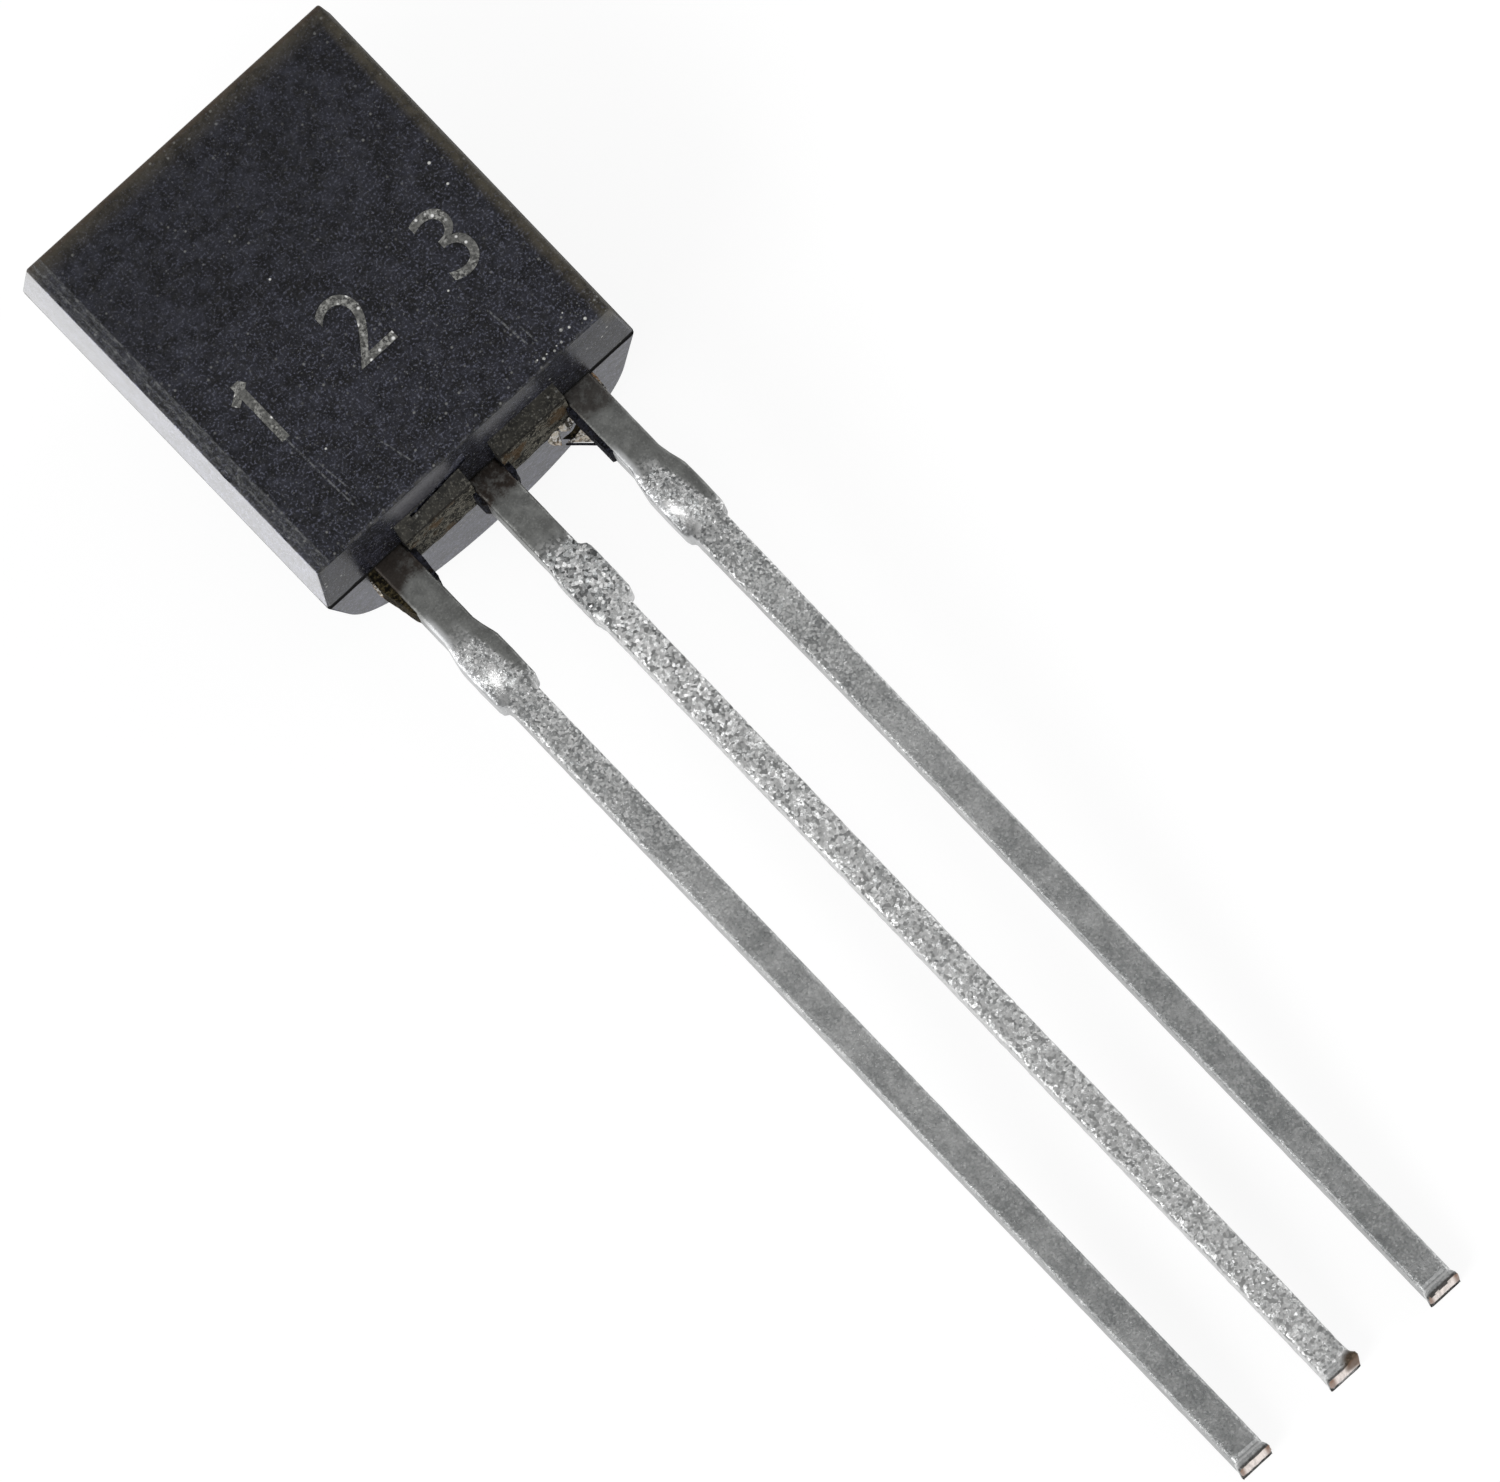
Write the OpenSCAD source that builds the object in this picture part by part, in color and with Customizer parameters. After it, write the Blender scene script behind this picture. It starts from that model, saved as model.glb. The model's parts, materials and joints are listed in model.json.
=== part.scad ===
// TO-92 transistor, lying flat side up on its rounded back and its lead tips.
// It is modelled upright first: X across the leads, Y up the body (the leads run to -Y), Z out of the
// flat. There y = 0 is the lead end of the body and z = 0 is the front face of the leads, which is also
// the parting plane of the moulding. lie() then turns it over into the position in which it rests.

/* [Body] */
// Width across the parting line, at the lead end
body_w = 4.15; // [3.6:0.01:5]
// Length of the body along the parting line
body_len = 4.63; // [3.6:0.01:5.6]
// Height of the flat above the parting plane
flat_h = 0.81; // [0.75:0.01:1.3]
// Depth of the rounded back below the parting plane, at the lead end
back_depth = 2.5; // [2:0.01:2.8]
// How far each side spreads from the lead end to the top, in degrees
side_spread = 0.1; // [0.05:0.01:2]
// Draft of the walls beside the flat, in degrees
side_draft = 7; // [3:0.05:14]
// Draft of the two ends of the front half, in degrees
end_draft = 8.2; // [3:0.1:14]
// Draft of the walls where the back starts, in degrees
back_side_draft = 12; // [8:0.5:15]
// Draft of the two ends of the back, in degrees
back_end_draft = 6; // [1:0.1:9]

/* [Resin left between the leads] */
// How far the stub of the punched web stands out of the body
web_out = 0.11; // [0.04:0.01:0.4]
// Height of its broken end above the parting plane
web_end_h = 0.3; // [0.1:0.01:0.45]
// Height of its root on the front wall
web_root_h = 0.42; // [0.2:0.01:0.65]

/* [Leads] */
// Distance from lead to lead
pitch = 1.27; // [1.15:0.01:1.4]
// Thickness of the strip
lead_t = 0.38; // [0.25:0.01:0.5]
// Width between the body and the stub of the tie bar
root_w = 0.39; // [0.3:0.01:0.55]
// Width at the stub of the tie bar
stub_w = 0.51; // [0.42:0.01:0.7]
// Width from the stub to the tip
lead_w = 0.36; // [0.25:0.01:0.5]
// Distance from the body to the stub
stub_start = 1.28; // [0.6:0.01:2]
// Length of the stub
stub_len = 0.68; // [0.3:0.01:1.2]
// Length of the slope from one width to the next
neck_len = 0.06; // [0.02:0.01:0.15]
// Length of the outer leads outside the body
lead_len = 13.06; // [8:0.01:16]
// How much shorter the middle lead is
middle_short = 0.05; // [0:0.01:0.3]
// How far the middle lead leans towards the first one, in degrees
middle_lean = 0.15; // [0:0.05:1.5]

/* [Inside] */
// Width of the wings that lock each lead in the resin
wing_w = 0.74; // [0.6:0.01:0.9]
// Length of the wings
wing_len = 0.32; // [0.15:0.01:0.4]
// Resin between the lead end of the body and the wings
wing_start = 0.42; // [0.3:0.01:0.6]
// Width of the paddle that carries the die
paddle_w = 1.7; // [1.2:0.01:1.9]
// Length of the paddle
paddle_len = 1.6; // [1:0.01:2]
// Distance from the lead end of the body to the paddle
paddle_start = 1.75; // [1.5:0.01:2]
// Distance from the first lead's own middle to the paddle's outer edge
paddle_side = 0.2; // [0.05:0.01:0.35]
// Width of the post on which a bond wire ends
post_w = 0.6; // [0.45:0.01:0.62]
// Length of that post
post_len = 0.42; // [0.3:0.01:0.6]
// Distance from the lead end of the body to the emitter's post
emitter_post_start = 1.75; // [1.3:0.01:2.2]
// Side of the square die
die_w = 0.46; // [0.3:0.01:0.7]
// Thickness of the die
die_t = 0.2; // [0.1:0.01:0.25]
// How far the bond layer shows around the die
bond_margin = 0.03; // [0.01:0.01:0.08]
// Thickness of the bond layer
bond_t = 0.03; // [0.01:0.005:0.05]
// Diameter of the bond wires
wire_d = 0.05; // [0.02:0.005:0.07]
// Diameter of the ball at the die end of a bond wire
ball_d = 0.1; // [0.08:0.01:0.14]
// Thickness of that ball
ball_t = 0.03; // [0.02:0.005:0.05]
// Height of a wire's loop above the die
loop_h = 0.2; // [0.16:0.01:0.26]
// Radius of the bends at the ends of the loop
loop_r = 0.12; // [0.09:0.01:0.14]

/* [Hidden] */
$fn = 64;

// Larger than the part, for blocks that only cut
far = 40;
// How far the curve of the back stands proud of the walls that run into it, so that the two cut cleanly
curve_proud = 0.003;

// Radius and middle of the back's curve at the lead end, where it meets both side walls and the depth
back_r = (body_w / 2 * cos(back_side_draft) - back_depth * sin(back_side_draft))
         / (1 - sin(back_side_draft));
back_mid = back_depth - back_r;
// How fast that radius grows up the body
back_growth = tan(side_spread) * cos(back_side_draft);
// Depth at which a side wall runs into the curve
wall_depth = back_mid + back_r * sin(back_side_draft);

end_in = flat_h * tan(end_draft);
stub_end = stub_start + stub_len;
lead_x = [-pitch, 0, pitch];

// Die, on the middle of the paddle
paddle_left = -pitch - paddle_side;
die_x = paddle_left + paddle_w / 2;
die_y = paddle_start + paddle_len / 2;
die_top = bond_t + die_t;
pad_x = die_w / 4;
wing_end = wing_start + wing_len;
base_post_start = wing_end;
base_post_mid = [0, base_post_start + post_len / 2];
emitter_post_mid = [pitch, emitter_post_start + post_len / 2];

// Resting position: the back's lower edge and the tips of the outer leads touch the ground
deep = back_depth + curve_proud;
edge_y = deep * tan(back_end_draft) / (1 - back_growth * tan(back_end_draft));
edge_depth = deep + back_growth * edge_y;
tilt = atan((edge_depth - lead_t) / (lead_len + edge_y));
ground = edge_depth * cos(tilt) - edge_y * sin(tilt);
// The end of the back that is furthest from the tips
top_y = (body_len - deep * tan(back_end_draft)) / (1 + back_growth * tan(back_end_draft));
top_reach = top_y * cos(tilt) + (deep + back_growth * top_y) * sin(tilt);
tip_reach = -lead_len * cos(tilt);

module lie() {
    translate([0, -(top_reach + tip_reach) / 2, ground]) rotate([tilt, 0, 0]) children();
}

// Side view of the body, drawn across its whole width. The back's ends run on past its depth.
module side_view() {
    run_on = back_depth + 1;
    run_in = run_on * tan(back_end_draft);
    rotate([90, 0, 90])
        linear_extrude(far, center = true)
            polygon([[0, 0], [end_in, flat_h], [body_len - end_in, flat_h], [body_len, 0],
                     [body_len - run_in, -run_on], [run_in, -run_on]]);
}

// All that lies outside one side wall, and its mirror image. A wall leans in by draft as it rises.
module outside_walls(draft) {
    for (side = [0, 1])
        mirror([side, 0, 0])
            translate([body_w / 2, 0, 0])
                rotate([0, 0, -side_spread])
                    rotate([0, -draft, 0])
                        translate([0, -far / 2, -far / 2]) cube(far);
}

module front_half() {
    difference() {
        translate([-far / 4, -far / 4, 0]) cube([far / 2, far / 2, flat_h]);
        outside_walls(side_draft);
    }
}

module back_half() {
    difference() {
        translate([-far / 4, -far / 4, -wall_depth]) cube([far / 2, far / 2, wall_depth]);
        outside_walls(-back_side_draft);
    }
    difference() {
        translate([0, 0, -back_mid])
            rotate([-90, 0, 0])
                cylinder(r1 = back_r + curve_proud,
                         r2 = back_r + curve_proud + back_growth * body_len, h = body_len);
        translate([-far / 2, -far / 2, 0]) cube(far);
    }
}

// Stub of the punched web, between two leads
module web(from_x, to_x) {
    wall_y = web_root_h * tan(end_draft);
    translate([from_x, 0, 0])
        rotate([90, 0, 90])
            linear_extrude(to_x - from_x)
                polygon([[wing_start / 2, -lead_t], [-web_out, -lead_t], [-web_out, web_end_h],
                         [wall_y, web_root_h], [wing_start / 2, web_root_h]]);
}

module body() {
    color("#26262b")
        lie()
            difference() {
                union() {
                    intersection() {
                        side_view();
                        union() {
                            front_half();
                            back_half();
                        }
                    }
                    for (i = [0, 1]) web(lead_x[i] + root_w / 2, lead_x[i + 1] - root_w / 2);
                }
                collector_shape();
                base_shape();
                emitter_shape();
                die_shape();
                bond_shape();
                base_wire_shape();
                emitter_wire_shape();
            }
}

// A flat piece of the strip, from its outline
module strip() {
    translate([0, 0, -lead_t]) linear_extrude(lead_t) children();
}

// The strip between two heights on the body, about its own middle
module bar(w, from_y, to_y) {
    translate([-w / 2, from_y]) square([w, to_y - from_y]);
}

// Outline of a lead below the body, about its own middle
module lead_outline(len) {
    half = [[root_w / 2, 0], [root_w / 2, -stub_start], [stub_w / 2, -stub_start - neck_len],
            [stub_w / 2, -stub_end], [lead_w / 2, -stub_end - neck_len], [lead_w / 2, -len]];
    polygon(concat(half, [for (i = [len(half) - 1 : -1 : 0]) [-half[i][0], half[i][1]]]));
}

// One lead up to the given height in the body, with its locking wings
module lead(x, len, up_to) {
    translate([x, 0, 0])
        strip() {
            lead_outline(len);
            bar(root_w, 0, up_to);
            bar(wing_w, wing_start, wing_end);
        }
}

module collector_shape() {
    lead(lead_x[0], lead_len, paddle_start);
    strip() translate([paddle_left, paddle_start]) square([paddle_w, paddle_len]);
}

// The free part of the middle lead leans sideways, about the end of its stub
module base_shape() {
    lead(lead_x[1], stub_end, base_post_start);
    translate([0, -stub_end, 0])
        rotate([0, 0, -middle_lean])
            strip() bar(lead_w, stub_end - lead_len + middle_short, 0);
    translate([lead_x[1], 0, 0]) strip() bar(post_w, base_post_start, base_post_start + post_len);
}

module emitter_shape() {
    lead(lead_x[2], lead_len, emitter_post_start);
    translate([lead_x[2], 0, 0])
        strip() bar(post_w, emitter_post_start, emitter_post_start + post_len);
}

module collector_lead() { color("#9a9c9b") lie() collector_shape(); }
module base_lead() { color("#a9abaa") lie() base_shape(); }
module emitter_lead() { color("#9a9c9b") lie() emitter_shape(); }

// A square plate on the paddle, about the middle of the die
module chip_plate(w, from_z, t) {
    translate([die_x - w / 2, die_y - w / 2, from_z]) cube([w, w, t]);
}

module bond_shape() { chip_plate(die_w + 2 * bond_margin, 0, bond_t); }
module die_shape() { chip_plate(die_w, bond_t, die_t); }

module die() { color("#5d6470") lie() die_shape(); }
module die_bond() { color("#c8c8c4") lie() bond_shape(); }

// A bond wire from a pad on the die to a post: ball, riser, bend, level run, bend and drop
module wire(pad, post) {
    span = norm(post - pad);
    heading = atan2(post[1] - pad[1], post[0] - pad[0]);
    loop_z = die_top + loop_h;
    translate([pad[0], pad[1], 0])
        rotate([0, 0, heading]) {
            translate([0, 0, die_top]) cylinder(d = ball_d, h = ball_t);
            translate([0, 0, die_top]) cylinder(d = wire_d, h = loop_h - loop_r);
            translate([loop_r, 0, loop_z - loop_r])
                rotate([90, 0, 0]) rotate([0, 0, 90]) bend();
            translate([loop_r, 0, loop_z])
                rotate([0, 90, 0]) cylinder(d = wire_d, h = span - 2 * loop_r);
            translate([span - loop_r, 0, loop_z - loop_r]) rotate([90, 0, 0]) bend();
            translate([span, 0, 0]) cylinder(d = wire_d, h = loop_z - loop_r);
        }
}

// A quarter turn of wire
module bend() {
    rotate_extrude(angle = 90) translate([loop_r, 0]) circle(d = wire_d);
}

module base_wire_shape() { wire([die_x + pad_x, die_y - pad_x], base_post_mid); }
module emitter_wire_shape() { wire([die_x + pad_x, die_y + pad_x], emitter_post_mid); }

module base_wire() { color("#d9b24a") lie() base_wire_shape(); }
module emitter_wire() { color("#d9b24a") lie() emitter_wire_shape(); }

body();
collector_lead();
base_lead();
emitter_lead();
die();
die_bond();
base_wire();
emitter_wire();
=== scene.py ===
"""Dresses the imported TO-92 transistor: the moulded body, the three tinned leads, the resin flash
round them, the chip inside, and a plain stage with the photograph's camera.

Pieces are modelled upright and in millimetres: X across the leads, Y up the body, Z out of the flat,
with the origin where the middle lead leaves the body. settle() then lays them down in the frame.
"""

import json
import math

import bmesh
import bpy
from bpy.props import FloatProperty, FloatVectorProperty, PointerProperty
from mathutils import Matrix, Vector, noise


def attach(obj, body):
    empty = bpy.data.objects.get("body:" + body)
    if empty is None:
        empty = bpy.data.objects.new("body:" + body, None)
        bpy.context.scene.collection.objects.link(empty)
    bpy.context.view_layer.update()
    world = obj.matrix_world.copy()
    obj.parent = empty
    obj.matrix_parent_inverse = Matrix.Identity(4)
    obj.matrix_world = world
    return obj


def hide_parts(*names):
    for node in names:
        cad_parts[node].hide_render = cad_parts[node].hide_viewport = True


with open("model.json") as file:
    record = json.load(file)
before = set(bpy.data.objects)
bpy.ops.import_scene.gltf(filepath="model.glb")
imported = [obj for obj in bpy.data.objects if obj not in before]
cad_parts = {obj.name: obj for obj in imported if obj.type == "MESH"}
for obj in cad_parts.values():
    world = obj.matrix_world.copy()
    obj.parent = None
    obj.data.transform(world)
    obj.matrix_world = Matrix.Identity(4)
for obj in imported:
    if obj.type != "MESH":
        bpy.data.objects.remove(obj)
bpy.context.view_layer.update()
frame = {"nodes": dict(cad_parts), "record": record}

bl_info = {
    "name": "TO-92 transistor",
    "version": (1, 0, 0),
    "blender": (4, 5, 0),
    "location": "3D View > Sidebar > Transistor",
    "description": "Models and paints a through-hole transistor around its packed frame",
    "category": "Add Mesh",
}

MM = 0.001
BODY = "root"
MOUNTS = {mount["name"]: mount for mount in frame["record"]["mounts"]}
FLAT_PLACE = Vector(MOUNTS["flat_front"]["pos_m"]) / MM
FLAT_AXIS = Vector(MOUNTS["flat_front"]["axis"])
PITCH = MOUNTS["emitter_pin"]["pos_m"][0]


def length(name, description, millimetres, low=0.0):
    """A size that a user may change."""
    return FloatProperty(name=name, description=description, default=millimetres * MM, min=low,
                         unit="LENGTH", subtype="DISTANCE", precision=5)


def angle(name, description, degrees):
    """An angle that a user may change."""
    return FloatProperty(name=name, description=description, default=math.radians(degrees),
                         subtype="ANGLE", unit="ROTATION")


def colour(name, description, red, green, blue):
    """A colour that a user may change, in linear light."""
    return FloatVectorProperty(name=name, description=description, default=(red, green, blue),
                               size=3, min=0.0, max=1.0, subtype="COLOR")


def share(name, description, value, high=1.0):
    """A plain number that a user may change."""
    return FloatProperty(name=name, description=description, default=value, min=0.0, max=high)


class MouldingSettings(bpy.types.PropertyGroup):
    """Sizes of the moulded body."""

    width: length("Width", "Width across the parting line, at the lead end", 4.15)
    long: length("Length", "Length along the parting line", 4.63)
    flat_height: length("Flat height", "Height of the flat above the parting plane", 0.81)
    back_depth: length("Back depth", "Depth of the rounded back at the lead end", 2.503)
    spread: angle("Side spread", "How far each side spreads from the lead end to the top", 0.1)
    side_draft: angle("Side draft", "Lean of the walls beside the flat", 7)
    end_draft: angle("End draft", "Lean of the two ends of the front half", 8.2)
    back_side_draft: angle("Back side draft", "Lean of the walls where the back starts", 12)
    back_end_draft: angle("Back end draft", "Lean of the two ends of the back", 6)
    edge_radius: length("Edge radius", "Rounding of the moulded edges", 0.03)
    seam_width: length("Seam width", "Half the width of the groove at the parting line", 0.026)
    seam_depth: length("Seam depth", "Depth of the groove at the parting line", 0.036)
    web_out: length("Web stub", "How far the broken resin web stands out between the leads", 0.11)
    web_end_height: length("Web end height", "Height of the broken end above the leads", 0.3)
    web_root_height: length("Web root height", "Height of the web where it meets the body", 0.42)


class LeadSettings(bpy.types.PropertyGroup):
    """Sizes of the stamped leads."""

    thickness: length("Thickness", "Thickness of the strip", 0.38)
    root_width: length("Root width", "Width between the body and the tie bar stub", 0.39)
    stub_width: length("Stub width", "Width at the stub of the tie bar", 0.51)
    blade_width: length("Blade width", "Width from the stub to the tip", 0.36)
    stub_start: length("Stub start", "Distance from the body to the stub", 1.28)
    stub_length: length("Stub length", "Length of the stub of the tie bar", 0.68)
    neck: length("Neck", "Length of the slope from one width to the next", 0.06)
    reach: length("Reach", "Length of the outer leads outside the body", 12.97)
    middle_short: length("Middle shorter by", "How much shorter the middle lead is", 0.05)
    middle_lean: angle("Middle lean", "Lean of the middle lead towards the first one", 0.15)
    edge_radius: length("Edge radius", "Rounding of the plated edges", 0.032)
    wing_width: length("Wing width", "Width of the wings that lock a lead in the resin", 0.74)
    wing_start: length("Wing start", "Resin between the lead end and the wings", 0.42)
    wing_length: length("Wing length", "Length of the wings", 0.32)
    inner_start: length("Inner start", "Distance from the lead end to the paddle and the far post", 1.75)
    paddle_width: length("Paddle width", "Width of the paddle that carries the die", 1.7)
    paddle_length: length("Paddle length", "Length of the paddle", 1.6)
    paddle_side: length("Paddle side", "From the first lead's middle to the paddle's outer edge", 0.2)
    post_width: length("Post width", "Width of the post on which a bond wire ends", 0.6)
    post_length: length("Post length", "Length of that post", 0.42)


class FinishSettings(bpy.types.PropertyGroup):
    """Colours and textures."""

    resin: colour("Resin", "The moulding's colour", 0.011, 0.0115, 0.016)
    filler: colour("Filler", "Grains of filler that show in the resin", 0.30, 0.30, 0.29)
    web: colour("Web", "Skin of the resin webs and the fringe at the edges", 0.025, 0.02, 0.01)
    torn_resin: colour("Torn resin", "Broken resin and flash", 0.09, 0.085, 0.07)
    thin_resin: colour("Thin resin", "Chips so thin that light comes through", 0.62, 0.56, 0.47)
    stain: colour("Stain", "Brown stain round the leads", 0.04, 0.027, 0.02)
    mark: colour("Mark", "Laser marked numbers", 0.27, 0.27, 0.255)
    tin: colour("Tin", "Bright tin plating", 0.78, 0.785, 0.78)
    dull_tin: colour("Dull tin", "Dull and tarnished plating", 0.30, 0.31, 0.312)
    smooth_tin: colour("Smooth tin", "Plating that the mould has pressed smooth", 0.30, 0.305, 0.295)
    copper: colour("Copper", "Copper core at the sheared tips", 0.92, 0.83, 0.78)


class StageSettings(bpy.types.PropertyGroup):
    """Camera, floor and lights."""

    distance: length("Camera distance", "Distance from the camera to the point it aims at", 600.0)
    azimuth: angle("Azimuth", "Camera's turn round the part", -11.6445)
    elevation: angle("Elevation", "Camera's height above the horizon", 63.9422)
    roll: angle("Roll", "Camera's turn about its own view", -31.8547)
    lens: FloatProperty(name="Lens", description="Focal length for a 36 mm sensor", default=1445.73,
                        min=1.0, unit="CAMERA")
    floor_size: length("Floor size", "Side of the floor", 6000.0)
    zenith: share("Zenith", "Brightness of the sky straight overhead", 0.36)
    horizon: share("Horizon", "Brightness of the sky at the horizon", 1.0)
    right_side: share("Right side", "Brightness of the right side, as a share of the left", 0.55)


GROUPS = {
    "moulding_sizes": MouldingSettings,
    "lead_sizes": LeadSettings,
    "finishes": FinishSettings,
    "stage_sizes": StageSettings,
}


def settings(group):
    """One group of settings of this scene."""
    return getattr(bpy.context.scene, group)


def mm(group):
    """The lengths and angles of a group as plain numbers, lengths in millimetres."""
    values = settings(group)
    found = {}
    for name in values.__annotations__:
        is_length = values.bl_rna.properties[name].unit == "LENGTH"
        found[name] = getattr(values, name) / MM if is_length else getattr(values, name)
    return found


# Placing


def lying():
    """The matrix that turns an upright piece in millimetres into the frame."""
    s = mm("moulding_sizes")
    turn = Matrix.Rotation(math.atan2(-FLAT_AXIS.y, FLAT_AXIS.z), 4, "X")
    flat_middle = Vector((0, s["long"] / 2, s["flat_height"]))
    shift = Matrix.Translation(FLAT_PLACE - turn @ flat_middle)
    return Matrix.Scale(MM, 4) @ shift @ turn


def settle(piece, even=False):
    """Lays an upright piece down in the frame, with its place in its mesh. even keeps flat faces flat."""
    alone(piece)
    piece.matrix_world = lying()
    bpy.ops.object.transform_apply(location=True, rotation=True, scale=True)
    bpy.ops.object.shade_smooth_by_angle(angle=math.radians(32))
    if even:
        apply_modifier(piece, "WEIGHTED_NORMAL", keep_sharp=True, weight=100)


def dress(piece, slot, *nodes):
    """Makes a finished piece ride on the part, in place of its nodes. slot, the record's finish, is not used.
    """
    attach(piece, BODY)
    if nodes:
        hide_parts(*nodes)


# Modelling


def alone(piece):
    """Selects one object only and makes it active, in object mode."""
    if bpy.context.mode != "OBJECT":
        bpy.ops.object.mode_set(mode="OBJECT")
    bpy.ops.object.select_all(action="DESELECT")
    piece.select_set(True)
    bpy.context.view_layer.objects.active = piece


def primitive(kind, name, scale=(1, 1, 1), **place):
    """Adds a primitive with its place and scale in its mesh."""
    if bpy.context.mode != "OBJECT":
        bpy.ops.object.mode_set(mode="OBJECT")
    bpy.ops.object.select_all(action="DESELECT")
    getattr(bpy.ops.mesh, f"primitive_{kind}_add")(**place)
    piece = bpy.context.active_object
    piece.name = name
    piece.data.name = name
    piece.scale = scale
    bpy.ops.object.transform_apply(location=True, rotation=True, scale=True)
    return piece


def block(name, low, high):
    """A box between two corners."""
    low, high = Vector(low), Vector(high)
    return primitive("cube", name, size=1, location=(low + high) / 2, scale=high - low)


def pick(piece, kind, wanted):
    """In edit mode, selects only the verts, edges or faces that are wanted, and counts them."""
    if bpy.context.mode != "EDIT_MESH":
        alone(piece)
        bpy.ops.object.mode_set(mode="EDIT")
    bpy.ops.mesh.select_mode(type={"verts": "VERT", "edges": "EDGE", "faces": "FACE"}[kind])
    bpy.ops.mesh.select_all(action="DESELECT")
    mesh = bmesh.from_edit_mesh(piece.data)
    mesh.normal_update()
    chosen = [item for item in getattr(mesh, kind) if wanted(item)]
    for item in chosen:
        item.select_set(True)
    mesh.select_flush_mode()
    bmesh.update_edit_mesh(piece.data)
    return len(chosen)


def need(count, what):
    """Stops the script where a selection found nothing."""
    if not count:
        raise RuntimeError(f"no {what} was found")


def push(piece, wanted, by, **how):
    """Moves the wanted vertices."""
    need(pick(piece, "verts", wanted), "vertex to move")
    bpy.ops.transform.translate(value=by, orient_type="GLOBAL", **how)


def jitter(piece, wanted, offset, seed):
    """Moves the wanted vertices about. The move hangs on a vertex's place, so every run gives the same."""
    need(pick(piece, "verts", wanted), "vertex to jitter")
    mesh = bmesh.from_edit_mesh(piece.data)
    noise.seed_set(seed + 1)
    draw = Vector((7.3 * seed, 1.7, 4.1))
    for vert in mesh.verts:
        if vert.select:
            vert.co += offset * noise.noise_vector(vert.co / offset + draw)
    bmesh.update_edit_mesh(piece.data)


def cut(piece, point, normal, clear=True):
    """Cuts a piece at a plane, and clears and closes the side that the normal points to."""
    pick(piece, "faces", lambda face: True)
    bpy.ops.mesh.bisect(plane_co=point, plane_no=normal, use_fill=clear, clear_outer=clear,
                        threshold=1e-5)


def outward(piece):
    """Merges doubles and turns all faces outwards."""
    pick(piece, "faces", lambda face: True)
    bpy.ops.mesh.remove_doubles(threshold=1e-5)
    bpy.ops.mesh.normals_make_consistent(inside=False)
    bpy.ops.object.mode_set(mode="OBJECT")


def apply_modifier(piece, kind, **how):
    """Adds a modifier and applies it."""
    alone(piece)
    modifier = piece.modifiers.new(kind.title(), kind)
    for name, value in how.items():
        setattr(modifier, name, value)
    bpy.ops.object.modifier_apply(modifier=modifier.name)


def carve(piece, tool, operation="DIFFERENCE"):
    """Joins a tool's shape to a piece, or takes it away, and removes the tool.

    The manifold solver gives the same mesh on every run. The exact one does not on this body.
    """
    before = len(piece.data.vertices)
    apply_modifier(piece, "BOOLEAN", object=tool, operation=operation, solver="MANIFOLD")
    open_edges = pick(piece, "edges", lambda edge: not edge.is_manifold)
    bpy.ops.object.mode_set(mode="OBJECT")
    if open_edges or len(piece.data.vertices) < before / 2:
        raise RuntimeError(f"{tool.name} could not be joined to {piece.name} or cut out of it")
    bpy.data.objects.remove(tool)


def joined(name, pieces):
    """Several objects as one."""
    alone(pieces[0])
    for piece in pieces[1:]:
        piece.select_set(True)
    bpy.ops.object.join()
    pieces[0].name = name
    pieces[0].data.name = name
    return pieces[0]


def roughen(piece, size, strength):
    """Moves the surface in and out by soft noise of the given grain size."""
    noise = bpy.data.textures.new(piece.name + "_roughness", "CLOUDS")
    noise.noise_scale = size
    noise.noise_depth = 3
    apply_modifier(piece, "DISPLACE", texture=noise, texture_coords="LOCAL", strength=strength,
                   mid_level=0.5)
    bpy.data.textures.remove(noise)


def paint(piece, *materials):
    """Gives a piece its materials, the first one all over."""
    piece.data.materials.clear()
    for material in materials:
        piece.data.materials.append(material)


# Nodes of the materials


def put(tree, kind, values=(), **how):
    """Adds a node. values are its inputs, by name or number, each a value or another node's socket."""
    made = tree.nodes.new(kind)
    for name, value in how.items():
        setattr(made, name, value)
    for name, value in dict(values).items():
        if isinstance(value, bpy.types.NodeSocket):
            tree.links.new(value, made.inputs[name])
        else:
            made.inputs[name].default_value = value
    return made


def sum_up(tree, operation, first, second=0.0, third=0.0, clamp=False):
    """One step of arithmetic."""
    made = put(tree, "ShaderNodeMath", {0: first, 1: second, 2: third}, operation=operation)
    made.use_clamp = clamp
    return made.outputs[0]


def fade(tree, value, start, end, low=0.0, high=1.0):
    """A soft step from low to high as value goes from start to end."""
    values = {"Value": value, "From Min": start, "From Max": end, "To Min": low, "To Max": high}
    return put(tree, "ShaderNodeMapRange", values, interpolation_type="SMOOTHSTEP").outputs[0]


def band(tree, value, low, high, soft):
    """One between low and high, and nothing outside them."""
    return sum_up(tree, "MULTIPLY", fade(tree, value, low - soft, low + soft),
                  fade(tree, value, high + soft, high - soft))


def both(tree, *masks):
    """The product of several masks."""
    product = masks[0]
    for mask in masks[1:]:
        product = sum_up(tree, "MULTIPLY", product, mask)
    return product


def blend(tree, share_of_second, first, second):
    """A mix of two colours."""
    made = tree.nodes.new("ShaderNodeMix")
    made.data_type = "RGBA"
    made.clamp_factor = True
    sockets = {0: share_of_second, 6: first, 7: second}
    for index, value in sockets.items():
        if isinstance(value, bpy.types.NodeSocket):
            tree.links.new(value, made.inputs[index])
        elif index == 0:
            made.inputs[index].default_value = value
        else:
            made.inputs[index].default_value = (*value, 1)
    return made.outputs[2]


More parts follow.
